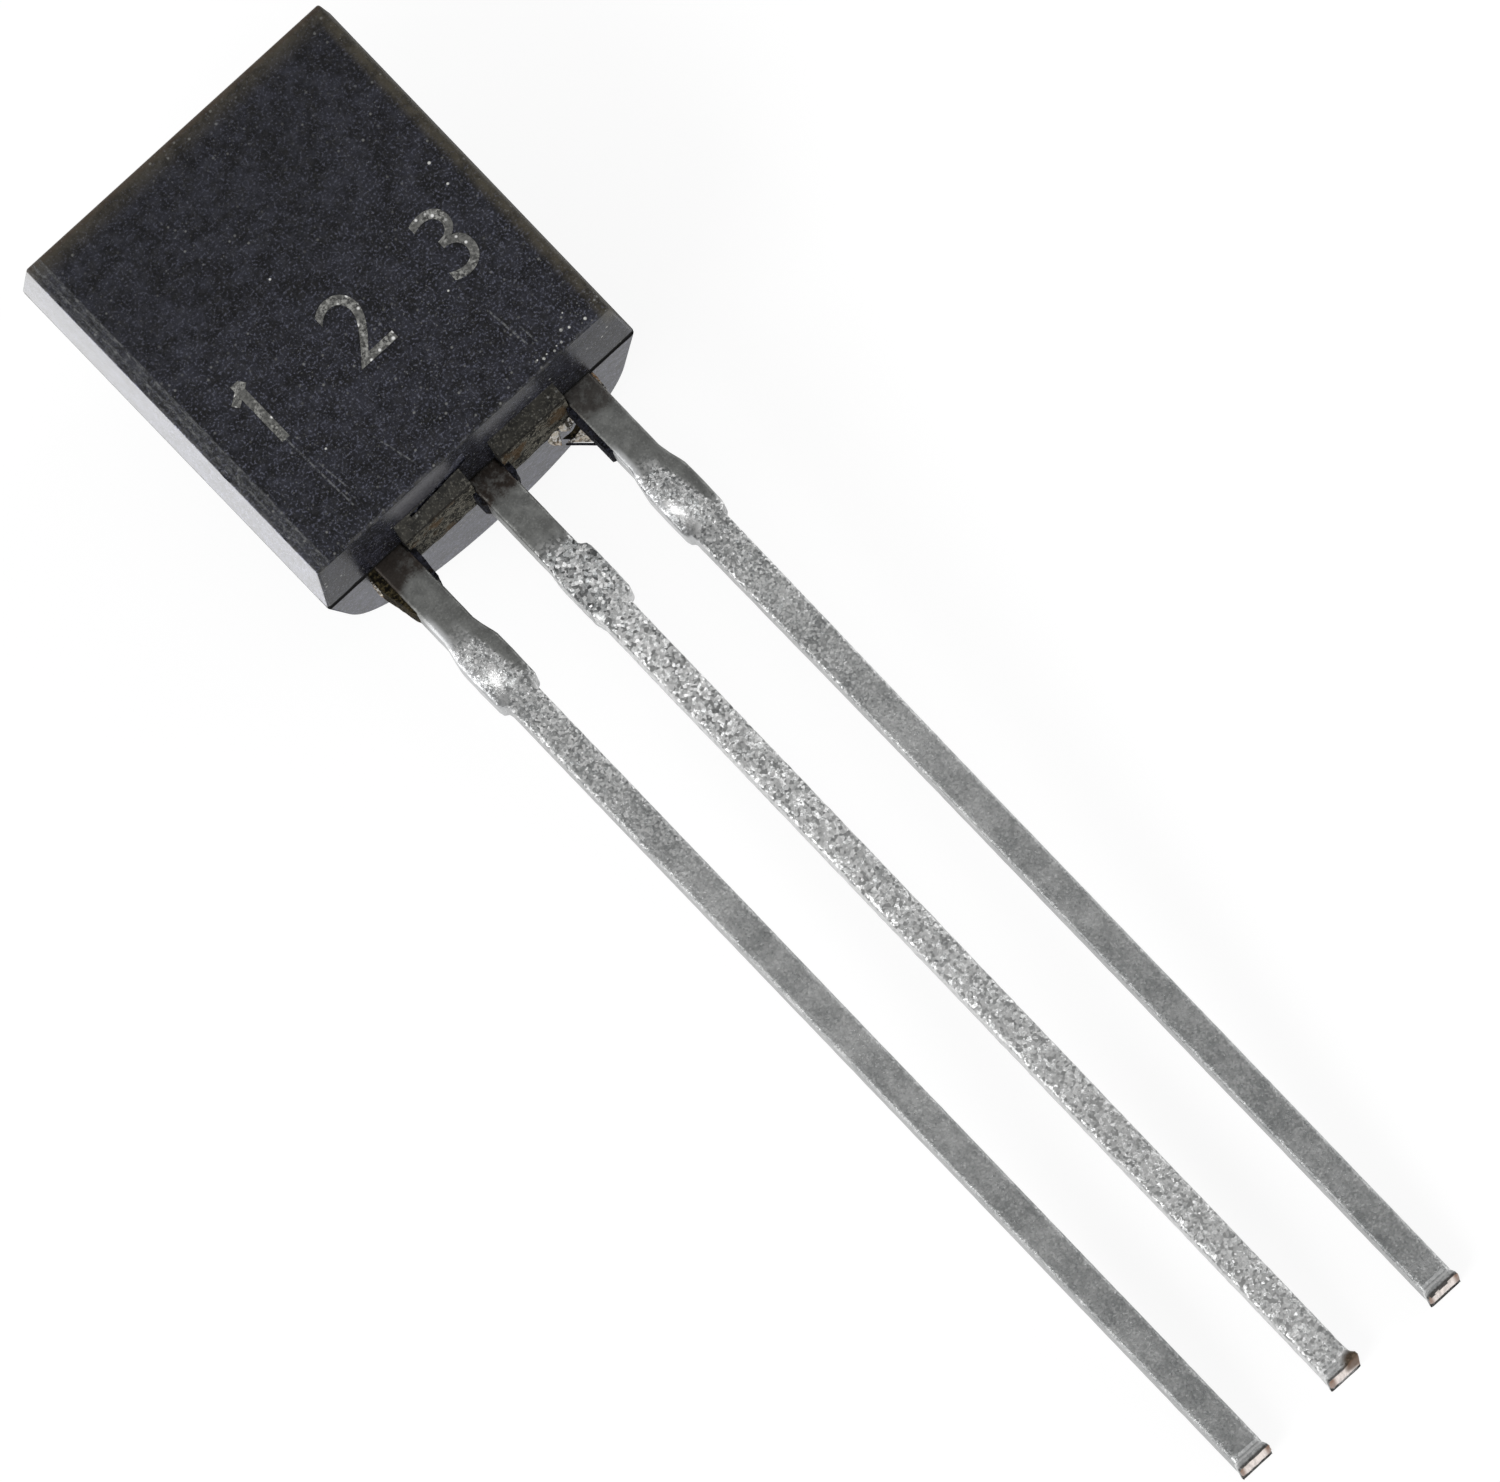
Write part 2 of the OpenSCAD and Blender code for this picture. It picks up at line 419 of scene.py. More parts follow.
def grain(tree, place, scale, detail=3.0, roughness=0.6, stretch=(1, 1, 1)):
    """Noise with the given number of blotches in a millimetre."""
    if tuple(stretch) != (1, 1, 1):
        place = put(tree, "ShaderNodeMapping", {"Vector": place, "Scale": stretch}).outputs[0]
    values = {"Vector": place, "Scale": scale, "Detail": detail, "Roughness": roughness}
    return put(tree, "ShaderNodeTexNoise", values).outputs["Fac"]


def cells(tree, place, scale, wanted="Distance", stretch=(1, 1, 1)):
    """Cells, that many in a millimetre."""
    if tuple(stretch) != (1, 1, 1):
        place = put(tree, "ShaderNodeMapping", {"Vector": place, "Scale": stretch}).outputs[0]
    return put(tree, "ShaderNodeTexVoronoi", {"Vector": place, "Scale": scale}).outputs[wanted]


def spot(tree, place, point, radius):
    """One in a small ball round a point."""
    away = put(tree, "ShaderNodeVectorMath", {0: place, 1: point}, operation="DISTANCE")
    return fade(tree, away.outputs["Value"], radius, 0.5 * radius)


def scratch(tree, place, start, end, width):
    """One along a thin line between two points."""
    start, run = Vector(start), Vector(end) - Vector(start)
    away = put(tree, "ShaderNodeVectorMath", {0: place, 1: start}, operation="SUBTRACT").outputs[0]
    dot = put(tree, "ShaderNodeVectorMath", {0: away, 1: run / run.length_squared},
              operation="DOT_PRODUCT").outputs["Value"]
    share_of_run = sum_up(tree, "ADD", dot, clamp=True)
    near = put(tree, "ShaderNodeVectorMath", {0: run, "Scale": share_of_run}, operation="SCALE").outputs[0]
    gap = put(tree, "ShaderNodeVectorMath", {0: away, 1: near}, operation="DISTANCE").outputs["Value"]
    return fade(tree, gap, width, 0.3 * width)


def facets(tree, cell_colour, tilt):
    """The surface's normal, turned a little differently on each cell, as on crystals."""
    normal = tree.nodes.new("ShaderNodeNewGeometry").outputs["Normal"]
    lean = put(tree, "ShaderNodeVectorMath", {0: cell_colour, 1: (-0.5, -0.5, -0.5)},
               operation="ADD").outputs[0]
    values = {0: lean, 1: (2 * tilt,) * 3, 2: normal}
    turned = put(tree, "ShaderNodeVectorMath", values, operation="MULTIPLY_ADD").outputs[0]
    return put(tree, "ShaderNodeVectorMath", {0: turned}, operation="NORMALIZE").outputs[0]


def upright_place(tree):
    """The point of the surface, upright and in millimetres."""
    back = lying().inverted()
    where = tree.nodes.new("ShaderNodeTexCoord").outputs["Object"]
    values = {
        "Vector": where,
        "Location": back.to_translation(),
        "Rotation": back.to_euler(),
        "Scale": back.to_scale(),
    }
    return put(tree, "ShaderNodeMapping", values).outputs[0]


def finish(name):
    """A new material: its node tree, its shader, the place on the surface, and its x, y and z."""
    material = bpy.data.materials.new(name)
    material.use_nodes = True
    tree = material.node_tree
    shader = tree.nodes["Principled BSDF"]
    place = upright_place(tree)
    split = put(tree, "ShaderNodeSeparateXYZ", {0: place})
    return material, tree, shader, place, split.outputs


def bump(tree, shader, height, depth_mm, normal=None):
    """Relief of the given depth in the shader's normal, or on top of another normal."""
    values = {"Height": height, "Distance": depth_mm * MM}
    if normal:
        values["Normal"] = normal
    made = put(tree, "ShaderNodeBump", values)
    tree.links.new(made.outputs[0], shader.inputs["Normal"])


def link(tree, shader, **sockets):
    """Joins sockets to the shader's inputs, with _ for a space in their names."""
    for name, value in sockets.items():
        tree.links.new(value, shader.inputs[name.replace("_", " ")])


# Materials


def resin_finish(name, base, roughness, ior=1.46, coat=0.0, contrast=1.0, wall=False):
    """Dark epoxy with filler grains, scratches, scuffed edges with a painted highlight, and painted light on
    the lead end. A wall ends softly on the back.
    """
    f = settings("finishes")
    s = mm("moulding_sizes")
    material, tree, shader, place, (x, y, z) = finish(name)
    fine = grain(tree, place, 24, 4, 0.7)
    mottle = grain(tree, place, 5.5, 5, 0.7)
    cloud = grain(tree, place, 1.1, 3)
    half_flat = s["width"] / 2 - s["flat_height"] * math.tan(s["side_draft"])
    on_flat = fade(tree, z, s["flat_height"] - 0.02, s["flat_height"] - 0.005)

    dark = blend(tree, fade(tree, mottle, 0.36, 0.7), [0.4 / contrast * c for c in base], [2 * c for c in base])
    grains = both(tree, fade(tree, grain(tree, place, 36, 3, 0.65), 0.5, 0.7),
                  fade(tree, y, 3.9, 1.4, 0.45, 0.8))
    tone = blend(tree, grains, dark, [6.5 * contrast * (0.85 * c + 0.15 * base[0]) for c in base])
    fringe = sum_up(tree, "MAXIMUM", fade(tree, y, s["long"] - 0.42, s["long"] - 0.1),
                    fade(tree, x, half_flat - 0.17, half_flat - 0.05))
    fringe = both(tree, fringe, fade(tree, mottle, 0.3, 0.6, 0.35, 1.0), fade(tree, z, 0.45, 0.75))
    tone = blend(tree, sum_up(tree, "MULTIPLY", fringe, 0.75), tone, [0.07, 0.06, 0.038])
    top_edge = both(tree, fade(tree, y, s["long"] - 0.2, s["long"] - 0.1), fade(tree, z, 0.55, 0.78))
    tone = blend(tree, sum_up(tree, "MULTIPLY", top_edge, 0.8), tone, [0.075, 0.05, 0.035])

    low_end = fade(tree, y, 2.4, 0.1, 0.0, 0.6)
    rim = fade(tree, sum_up(tree, "ABSOLUTE", x), half_flat - 0.5, half_flat, 0.0, 0.35)
    crowding = sum_up(tree, "ADD", sum_up(tree, "ADD", low_end, rim), fade(tree, cloud, 0.42, 0.66, 0.1, 0.8))
    dots = fade(tree, cells(tree, place, 13), 0.26, 0.08)
    dust = sum_up(tree, "MULTIPLY", fade(tree, cells(tree, place, 31), 0.34, 0.12), 0.6)
    speck = both(tree, dots, fade(tree, cells(tree, place, 13, "Color"), 0.56, 0.85))
    dust = both(tree, dust, fade(tree, cells(tree, place, 31, "Color"), 0.6, 0.9))
    speck = both(tree, sum_up(tree, "MAXIMUM", speck, dust), crowding)
    tone = blend(tree, sum_up(tree, "MULTIPLY", speck, 0.7), tone, f.filler)

    left_strip = band(tree, x, -half_flat, -half_flat + 0.17, 0.01)
    strands = grain(tree, place, 24, 4, 0.75, (1.6, 0.6, 1))
    pair = sum_up(tree, "MAXIMUM", band(tree, x, -half_flat + 0.065, -half_flat + 0.09, 0.012),
                  band(tree, x, -half_flat + 0.14, -half_flat + 0.17, 0.012))
    strip_wear = sum_up(tree, "MULTIPLY_ADD", pair, fade(tree, strands, 0.4, 0.62, 0.05, 0.8),
                        both(tree, left_strip, fade(tree, strands, 0.45, 0.66, 0.1, 0.5)))
    long_marks = [
        ((-1.29, 1.95), (-1.24, 0.4), 0.014), ((-1.2, 0.95), (-1.15, 0.5), 0.012),
        ((1.08, 0.95), (1.13, 0.42), 0.016), ((1.2, 0.62), (1.22, 0.36), 0.014),
        ((-0.62, 0.78), (-0.5, 0.28), 0.012), ((-half_flat, 1.3), (-half_flat + 0.15, 1.47), 0.022),
    ]
    broken = fade(tree, grain(tree, place, 19, 2), 0.42, 0.6, 0.1, 1.0)
    worn = sum_up(tree, "MULTIPLY", strip_wear, 1.0)
    for (from_x, from_y), (to_x, to_y), width in long_marks:
        mark = scratch(tree, place, (from_x, from_y, s["flat_height"]), (to_x, to_y, s["flat_height"]), width)
        worn = sum_up(tree, "MULTIPLY_ADD", mark, broken, worn)
    worn = both(tree, on_flat, worn)
    tone = blend(tree, sum_up(tree, "MULTIPLY", worn, 0.6), tone, [0.2, 0.205, 0.21])
    glints = fade(tree, y, 9, 10)
    for point_x, point_y, radius in [(1.68, 2.5, 0.022), (1.67, 2.21, 0.018), (1.47, 0.285, 0.022),
                                     (1.55, 0.25, 0.018), (1.725, 0.205, 0.022), (-0.28, 2.72, 0.016),
                                     (0.93, 1.38, 0.015), (-1.05, 1.02, 0.015), (1.09, 0.22, 0.012),
                                     (1.15, 0.185, 0.02), (1.2, 0.2, 0.011), (1.28, 0.17, 0.017),
                                     (1.33, 0.195, 0.01), (1.39, 0.19, 0.018), (1.6, 0.41, 0.011)]:
        glint = spot(tree, place, (point_x, point_y, s["flat_height"]), radius)
        glints = sum_up(tree, "MAXIMUM", glints, glint)
    tone = blend(tree, sum_up(tree, "MULTIPLY", glints, fade(tree, broken, 0.1, 0.8, 0.5, 1.0)), tone,
                 [0.6, 0.6, 0.58])

    # A lighter, broken line round the flat's rounded edge: partly scuffing, partly a painted edge highlight.
    edge_wear_and_highlight = both(tree, fade(tree, grain(tree, place, 12, 3), 0.45, 0.65),
                     band(tree, z, s["flat_height"] - 0.045, s["flat_height"] - 0.003, 0.006))
    tone = blend(tree, sum_up(tree, "MULTIPLY", edge_wear_and_highlight, 0.22), tone, [0.16, 0.155, 0.14])
    wave = sum_up(tree, "MULTIPLY_ADD", grain(tree, place, 2.5, 4, 0.7), 0.06, z)
    at_ends = sum_up(tree, "MAXIMUM", fade(tree, y, 0.2, 0.1), fade(tree, y, s["long"] - 0.2, s["long"] - 0.1))
    seam = both(tree, band(tree, wave, -0.02, 0.085, 0.01), fade(tree, at_ends, 0.0, 1.0, 0.2, 1.0))
    tone = blend(tree, seam, tone, [0.0005, 0.0005, 0.0005])
    # Painted light: a lighter, speckled patch on the lead end between the webs and the flat, away from the
    # leads. It is full between the first and middle leads and fades out between the middle and third.
    between = band(tree, sum_up(tree, "ABSOLUTE", x), 0.27, 1.0, 0.05)
    painted_light_patch = both(tree, between, band(tree, z, s["web_root_height"] + 0.02, 0.74, 0.03),
                       fade(tree, y, 0.2, 0.15), fade(tree, fine, 0.3, 0.6, 0.5, 1.0),
                       fade(tree, x, 0.8, 0.0, 0.02, 1.0))
    tone = blend(tree, sum_up(tree, "MULTIPLY", painted_light_patch, 0.9), tone, [0.07, 0.069, 0.077])
    gloss = sum_up(tree, "MULTIPLY_ADD", fine, 0.14, roughness - 0.06)
    if wall:
        on_back = fade(tree, sum_up(tree, "MULTIPLY_ADD", mottle, 0.3, z), -0.6, -1.25)
        tone = blend(tree, sum_up(tree, "MULTIPLY", on_back, 0.85), tone, [0.5 * c for c in f.resin])
        gloss = sum_up(tree, "MULTIPLY_ADD", on_back, 0.42 - roughness, gloss)
    link(tree, shader, Base_Color=tone)
    gloss = sum_up(tree, "MAXIMUM", gloss, seam)
    link(tree, shader, Roughness=gloss)
    shader.inputs["IOR"].default_value = ior
    shader.inputs["Coat Weight"].default_value = coat
    if wall and coat:
        link(tree, shader, Coat_Weight=fade(tree, on_back, 1.0, 0.0, 0.0, coat))
    shader.inputs["Coat Roughness"].default_value = 0.08
    shader.inputs["Coat IOR"].default_value = 1.75
    relief = sum_up(tree, "MULTIPLY_ADD", fine, 0.6, sum_up(tree, "MULTIPLY", mottle, 0.5))
    relief = sum_up(tree, "MULTIPLY_ADD", speck, 0.5, relief)
    relief = sum_up(tree, "MULTIPLY_ADD", worn, 0.5, relief)
    relief = sum_up(tree, "MULTIPLY", relief, fade(tree, on_flat, 0.0, 1.0, 0.3, 1.0))
    bump(tree, shader, relief, 0.012)
    return material


def torn_finish(name, colour_name):
    """Broken resin: rough and pitted."""
    full = getattr(settings("finishes"), colour_name)
    material, tree, shader, place, (x, y, z) = finish(name)
    coarse = grain(tree, place, 9, 5, 0.75)
    fine = grain(tree, place, 36, 3, 0.6)
    patch = grain(tree, place, 3.4, 4, 0.65)
    tone = blend(tree, fade(tree, coarse, 0.43, 0.57), [0.15 * c for c in full], [1.4 * c for c in full])
    tone = blend(tree, fade(tree, fine, 0.52, 0.64, 0.0, 0.85), tone, [min(1.0, 3 * c) for c in full])
    tone = blend(tree, fade(tree, patch, 0.52, 0.64, 0.0, 0.75), tone,
                 [0.95 * full[0], 0.6 * full[1], 0.32 * full[2]])
    lip = fade(tree, z, 0.2, 0.28)
    tone = blend(tree, sum_up(tree, "MULTIPLY", lip, 0.85), tone, [0.004, 0.0035, 0.003])
    link(tree, shader, Base_Color=tone)
    shader.inputs["Roughness"].default_value = 0.85
    shader.inputs["IOR"].default_value = 1.2
    bump(tree, shader, sum_up(tree, "ADD", coarse, sum_up(tree, "MULTIPLY", fine, 0.4)), 0.03)
    return material


def mark_finish():
    """Laser marking: the resin's skin burnt off, pale and dusty, with painted glints."""
    f = settings("finishes")
    material, tree, shader, place, (x, y, z) = finish("laser_mark")
    fine = grain(tree, place, 26, 4, 0.75)
    coarse = grain(tree, place, 8, 4, 0.65)
    tone = blend(tree, fade(tree, fine, 0.4, 0.6), [0.14 * c for c in f.mark], [1.25 * c for c in f.mark])
    tone = blend(tree, fade(tree, coarse, 0.4, 0.6, 0.75, 0.0), tone, [0.3 * c for c in f.mark])
    # Painted glints: bright dots scattered over the marking.
    dots = both(tree, fade(tree, cells(tree, place, 12), 0.3, 0.12),
                fade(tree, cells(tree, place, 12, "Color"), 0.45, 0.6))
    tone = blend(tree, dots, tone, [0.85, 0.85, 0.84])
    link(tree, shader, Base_Color=tone)
    shader.inputs["Roughness"].default_value = 0.75
    bump(tree, shader, fine, 0.012)
    return material


def across_lead(tree, x):
    """Distance across from the middle of the nearest lead."""
    pitch = PITCH / MM
    nearest = sum_up(tree, "ROUND", sum_up(tree, "DIVIDE", x, pitch))
    return sum_up(tree, "MULTIPLY_ADD", nearest, -pitch, x)


def middle_burr(tree, place):
    """One round the brown burr at the corner of the middle lead's tip."""
    lead = mm("lead_sizes")
    return spot(tree, place, (0.13, lead["middle_short"] - lead["reach"] + 0.02, -0.05), 0.17)


def tin_finish(name, brightness, sparkle, stain):
    """Tin plating over copper: small crystals, smooth and brown near the body, with a painted highlight at the
    stub.
    """
    f = settings("finishes")
    s = mm("lead_sizes")
    material, tree, shader, place, (x, y, z) = finish(name)
    stub_start, stub_end = -s["stub_start"], -s["stub_start"] - s["stub_length"]
    across = across_lead(tree, x)
    outer = 1 - brightness
    crystal = cells(tree, place, 32 + 10 * outer, "Color")
    small = put(tree, "ShaderNodeSeparateColor", {0: crystal}).outputs
    fine = grain(tree, place, 40, 4, 0.7)
    cloud = grain(tree, place, 2.1, 4, 0.65)
    streak = grain(tree, place, 9, 3, 0.6, (1.5, 0.35, 1))
    lively = fade(tree, y, -6 - 4 * brightness, stub_end + 0.2, 0.25 + 0.45 * brightness, 1.0)
    in_front = put(tree, "ShaderNodeCombineXYZ", {0: across, 1: y}).outputs[0]
    # Painted highlight: a pale streak on the left part of each outer lead's stub, where the crystals' facets
    # are calmed.
    first = scratch(tree, in_front, (-0.03, stub_end + 0.38, 0), (-0.16, stub_end + 0.05, 0), 0.075)
    third = scratch(tree, in_front, (-0.17, stub_end + 0.42, 0), (-0.09, stub_end + 0.03, 0), 0.066)
    painted_highlight = sum_up(tree, "ADD", both(tree, first, fade(tree, x, 0.0, -0.6)),
                   both(tree, third, fade(tree, x, 0.0, 0.6)))
    painted_highlight = sum_up(tree, "MULTIPLY", painted_highlight, outer)
    # right is painted shade: a darker band down the right side of each outer stub, for the rounded edge that
    # turns from the light. It also carries the smooth root further down that side.
    right = sum_up(tree, "MULTIPLY", both(tree, fade(tree, across, 0.02, 0.2),
                                          fade(tree, y, stub_end - 0.1, stub_end + 0.2)), outer)
    squeezed = band(tree, y, stub_end, stub_start + 0.35, 0.06)

    bright = sum_up(tree, "MULTIPLY_ADD", small[0], 0.55, sum_up(tree, "MULTIPLY", fine, 0.5))
    bright = sum_up(tree, "MULTIPLY_ADD", sum_up(tree, "SUBTRACT", bright, 0.53), lively, 0.53)
    bright = sum_up(tree, "MULTIPLY_ADD", cloud, 0.7, bright)
    bright = sum_up(tree, "MULTIPLY_ADD", streak, 0.3, bright)
    bright = sum_up(tree, "ADD", bright, fade(tree, y, -11, -3, -0.1 * outer, 0.0))
    bright = sum_up(tree, "MULTIPLY_ADD", squeezed, -0.22 * brightness, bright)
    start = 0.98 - 0.16 * brightness
    tone = blend(tree, fade(tree, bright, start - 0.3, start + 0.34), f.dull_tin, f.tin)
    dark_grains = both(tree, fade(tree, small[1], 0.72, 0.8), lively)
    tone = blend(tree, sum_up(tree, "MULTIPLY", dark_grains, 0.4 + 0.15 * brightness), tone,
                 [0.35 * c for c in f.dull_tin])
    glitter = both(tree, fade(tree, small[2], 0.76, 0.88), lively)
    tone = blend(tree, glitter, tone, [0.97, 0.97, 0.965])
    tone = blend(tree, painted_highlight, tone, [0.97, 0.97, 0.965])

    ragged = sum_up(tree, "MULTIPLY_ADD", fine, 0.3, sum_up(tree, "MULTIPLY_ADD", cloud, 0.5, y))
    root = fade(tree, sum_up(tree, "MULTIPLY_ADD", right, 0.75, ragged), stub_start + 0.42, stub_start + 0.8)
    smooth = blend(tree, fade(tree, grain(tree, place, 6, 4), 0.35, 0.68), [0.78 * c for c in f.smooth_tin],
                   [1.15 * c for c in f.smooth_tin])
    smooth = blend(tree, fade(tree, fine, 0.52, 0.7, 0.0, 0.45), smooth, [1.9 * c for c in f.smooth_tin])
    smooth = blend(tree, fade(tree, fine, 0.44, 0.3, 0.0, 0.5), smooth, [0.4 * c for c in f.smooth_tin])
    tone = blend(tree, root, tone, smooth)
    # Painted shade along the right side of the outer stubs.
    tone = blend(tree, sum_up(tree, "MULTIPLY", right, 0.3), tone, [0.4 * c for c in f.smooth_tin])
    # Painted highlight: a pale line along the left edge of each outer lead, from below the root to the end of
    # the stub.
    edge = sum_up(tree, "MULTIPLY_ADD", fade(tree, y, stub_start + 0.25, stub_start, 0.0, 0.055), 1.0, across)
    painted_rim_highlight = both(tree, fade(tree, edge, -0.1, -0.16), fade(tree, y, -0.65, -0.9),
                    fade(tree, y, stub_end - 0.3, stub_end))
    tone = blend(tree, sum_up(tree, "MULTIPLY", painted_rim_highlight, 0.9 * outer), tone, [0.95, 0.96, 0.97])
    behind = fade(tree, z, -0.035, -0.06, 0.0, 0.55 - 0.3 * brightness)
    tone = blend(tree, behind, tone, [0.4 * c for c in f.dull_tin])
    # Near the tip, a pale line across the lead is a painted highlight, and a dark band at the very end is
    # painted shade.
    from_tip = sum_up(tree, "ADD", y, s["reach"] - s["middle_short"] * brightness)
    rough_line = sum_up(tree, "MULTIPLY_ADD", fine, 0.02, from_tip)
    painted_tip_highlight = sum_up(tree, "MULTIPLY", band(tree, rough_line, 0.1, 0.125, 0.012), 0.8)
    tone = blend(tree, painted_tip_highlight, tone, [0.9, 0.9, 0.9])
    painted_tip_shade = sum_up(tree, "MULTIPLY", band(tree, rough_line, -0.02, 0.055, 0.012), 0.85)
    tone = blend(tree, painted_tip_shade, tone, [0.05, 0.045, 0.04])
    blotch = grain(tree, place, 9, 4, 0.7)
    tone = blend(tree, middle_burr(tree, place), tone, [0.12, 0.09, 0.065])
    stained = both(tree, fade(tree, ragged, 0.0, 0.14), fade(tree, blotch, 0.36, 0.56, 0.5, 1.0),
                   fade(tree, x, 0.6, 0.9, 1.0, 0.8))
    film = sum_up(tree, "MULTIPLY_ADD", x, -1.4, sum_up(tree, "ADD", ragged, -1.4 * 1.465 + 0.16))
    stained = sum_up(tree, "MAXIMUM", sum_up(tree, "MULTIPLY", stained, stain),
                     fade(tree, film, 0.0, 0.2, 0.0, 0.85))
    tone = blend(tree, stained, tone, f.stain)
    link(tree, shader, Base_Color=tone)
    shader.inputs["Metallic"].default_value = 1.0
    rough = sum_up(tree, "MULTIPLY_ADD", fine, 0.2, 0.2)
    link(tree, shader, Roughness=sum_up(tree, "MULTIPLY_ADD", root, 0.12, rough))
    tilt = facets(tree, crystal, 0.11 + 0.1 * sparkle)
    flat_normal = tree.nodes.new("ShaderNodeNewGeometry").outputs["Normal"]
    calm = both(tree, lively, fade(tree, root, 0.0, 1.0, 1.0, 0.15), fade(tree, painted_highlight, 0.0, 1.0, 1.0, 0.1))
    mixed = tree.nodes.new("ShaderNodeMix")
    mixed.data_type = "VECTOR"
    for index, value in {0: calm, 4: flat_normal, 5: tilt}.items():
        tree.links.new(value, mixed.inputs[index])
    relief = sum_up(tree, "MULTIPLY", fine, fade(tree, root, 0.0, 1.0, 1.0, 0.3))
    bump(tree, shader, relief, 0.006, mixed.outputs[1])
    return material


def copper_finish():
    """The sheared end: bare copper, smeared and scored."""
    f = settings("finishes")
    material, tree, shader, place, (x, y, z) = finish("sheared_copper")
    score = grain(tree, place, 12, 3, 0.6, (3, 1, 0.4))
    across = across_lead(tree, x)
    tone = blend(tree, fade(tree, score, 0.35, 0.65), [0.7 * c for c in f.copper], f.copper)
    ragged = sum_up(tree, "MULTIPLY_ADD", score, 0.04, sum_up(tree, "ABSOLUTE", across))
    low = sum_up(tree, "MULTIPLY_ADD", score, -0.06, z)
    rim = sum_up(tree, "MAXIMUM", fade(tree, ragged, 0.14, 0.19), fade(tree, low, -0.31, -0.35))
    tone = blend(tree, sum_up(tree, "MULTIPLY", rim, 0.85), tone, [0.2, 0.1, 0.055])
    tone = blend(tree, middle_burr(tree, place), tone, [0.15, 0.1, 0.07])
    link(tree, shader, Base_Color=tone)
    shader.inputs["Metallic"].default_value = 0.85
    shader.inputs["Roughness"].default_value = 0.42
    bump(tree, shader, score, 0.01)
    return material


def inner_finish(name, base, metallic, roughness, grains):
    """The finish of a part that the resin hides."""
    material, tree, shader, place, (x, y, z) = finish(name)
    fine = grain(tree, place, grains, 3)
    link(tree, shader, Base_Color=blend(tree, fine, [0.7 * c for c in base], base))
    link(tree, shader, Roughness=sum_up(tree, "MULTIPLY_ADD", fine, 0.15, roughness))
    shader.inputs["Metallic"].default_value = metallic
    bump(tree, shader, fine, 0.001)
    return material


# Moulded body

CURVE_STEPS = 120
TORN, WEB, LEFT_WALL, RIGHT_WALL, FRONT_END, REAR_END = range(1, 7)


def back_curve(s):
    """Radius of the rounded back, depth of its middle, and depth at which the walls run into it."""
    draft = s["back_side_draft"]
    radius = ((s["width"] / 2 * math.cos(draft) - s["back_depth"] * math.sin(draft))
              / (1 - math.sin(draft)))
    middle = s["back_depth"] - radius
    return radius, middle, middle + radius * math.sin(draft)


def body_blank(s):
    """The front half and the rounded back as one closed shell with sharp edges."""
    long, spread = s["long"], math.tan(s["spread"])
    radius, middle, wall_depth = back_curve(s)
    growth = 1 + spread * math.cos(s["back_side_draft"]) * long / radius
    body = primitive("cylinder", "moulded_body", vertices=CURVE_STEPS, radius=radius, depth=long,
                     end_fill_type="NOTHING", location=(0, long / 2, -middle),
                     rotation=(math.pi / 2, 0, 0))
    pick(body, "verts", lambda v: v.co.x < -0.001 or v.co.z > -wall_depth + 0.001)
    bpy.ops.mesh.delete(type="VERT")
    pick(body, "verts", lambda v: v.co.y > long / 2)
    bpy.ops.transform.resize(value=(growth, 1, growth), center_override=(0, long, -middle))

    half = s["width"] / 2
    top_half = half - s["flat_height"] * math.tan(s["side_draft"])
    rows = [(half, 0), (top_half, s["flat_height"]), (0, s["flat_height"])]
    for row_x, row_z in rows:
        pick(body, "edges", lambda e: e.is_boundary and e.verts[0].co.x + e.verts[1].co.x > 0.1
             and abs(e.verts[0].co.y - e.verts[1].co.y) > long / 2)
        bpy.ops.mesh.extrude_edges_move()
        mesh = bmesh.from_edit_mesh(body.data)
        ends = sorted((v for v in mesh.verts if v.select), key=lambda v: v.co.y)
        targets = [Vector((row_x, 0, row_z)), Vector((row_x + spread * long * (row_x > 0), long, row_z))]
        moves = [(v.index, target - v.co) for v, target in zip(ends, targets)]
        for index, move in moves:
            push(body, lambda v: v.index == index, move)
        pick(body, "edges", lambda e: False)
    bpy.ops.object.mode_set(mode="OBJECT")
    apply_modifier(body, "MIRROR", use_axis=(True, False, False), merge_threshold=1e-4)
    for end in (0, long):
        pick(body, "edges", lambda e: e.is_boundary and all(abs(v.co.y - end) < 1e-4 for v in e.verts))
        bpy.ops.mesh.edge_face_add()
    outward(body)

    front, rear = s["end_draft"], s["back_end_draft"]
    cut(body, (0, 0, 0), (0, -math.cos(front), math.sin(front)))
    cut(body, (0, long, 0), (0, math.cos(front), math.sin(front)))
    cut(body, (0, 0, 0), (0, -math.cos(rear), -math.sin(rear)))
    cut(body, (0, long, 0), (0, math.cos(rear), -math.sin(rear)))
    outward(body)
    return body


def round_edges(body, s):
    """Rounds the sharp edges and sinks the parting groove."""
    sharp = math.radians(40)
    need(pick(body, "edges", lambda e: e.calc_face_angle(0) > sharp), "sharp edge")
    bpy.ops.mesh.bevel(offset=s["edge_radius"], segments=3, profile=0.5, clamp_overlap=True)
    on_seam = lambda v: abs(v.co.z) < 2e-4
    need(pick(body, "edges", lambda e: all(on_seam(v) for v in e.verts)), "parting line")
    bpy.ops.mesh.bevel(offset=s["seam_width"], segments=2, profile=0.5, clamp_overlap=True)
    need(pick(body, "verts", on_seam), "parting groove")
    narrower = [1 - 2 * s["seam_depth"] / s[name] for name in ("width", "long")]
    bpy.ops.transform.resize(value=(*narrower, 1), center_override=(0, s["long"] / 2, 0))
    outward(body)


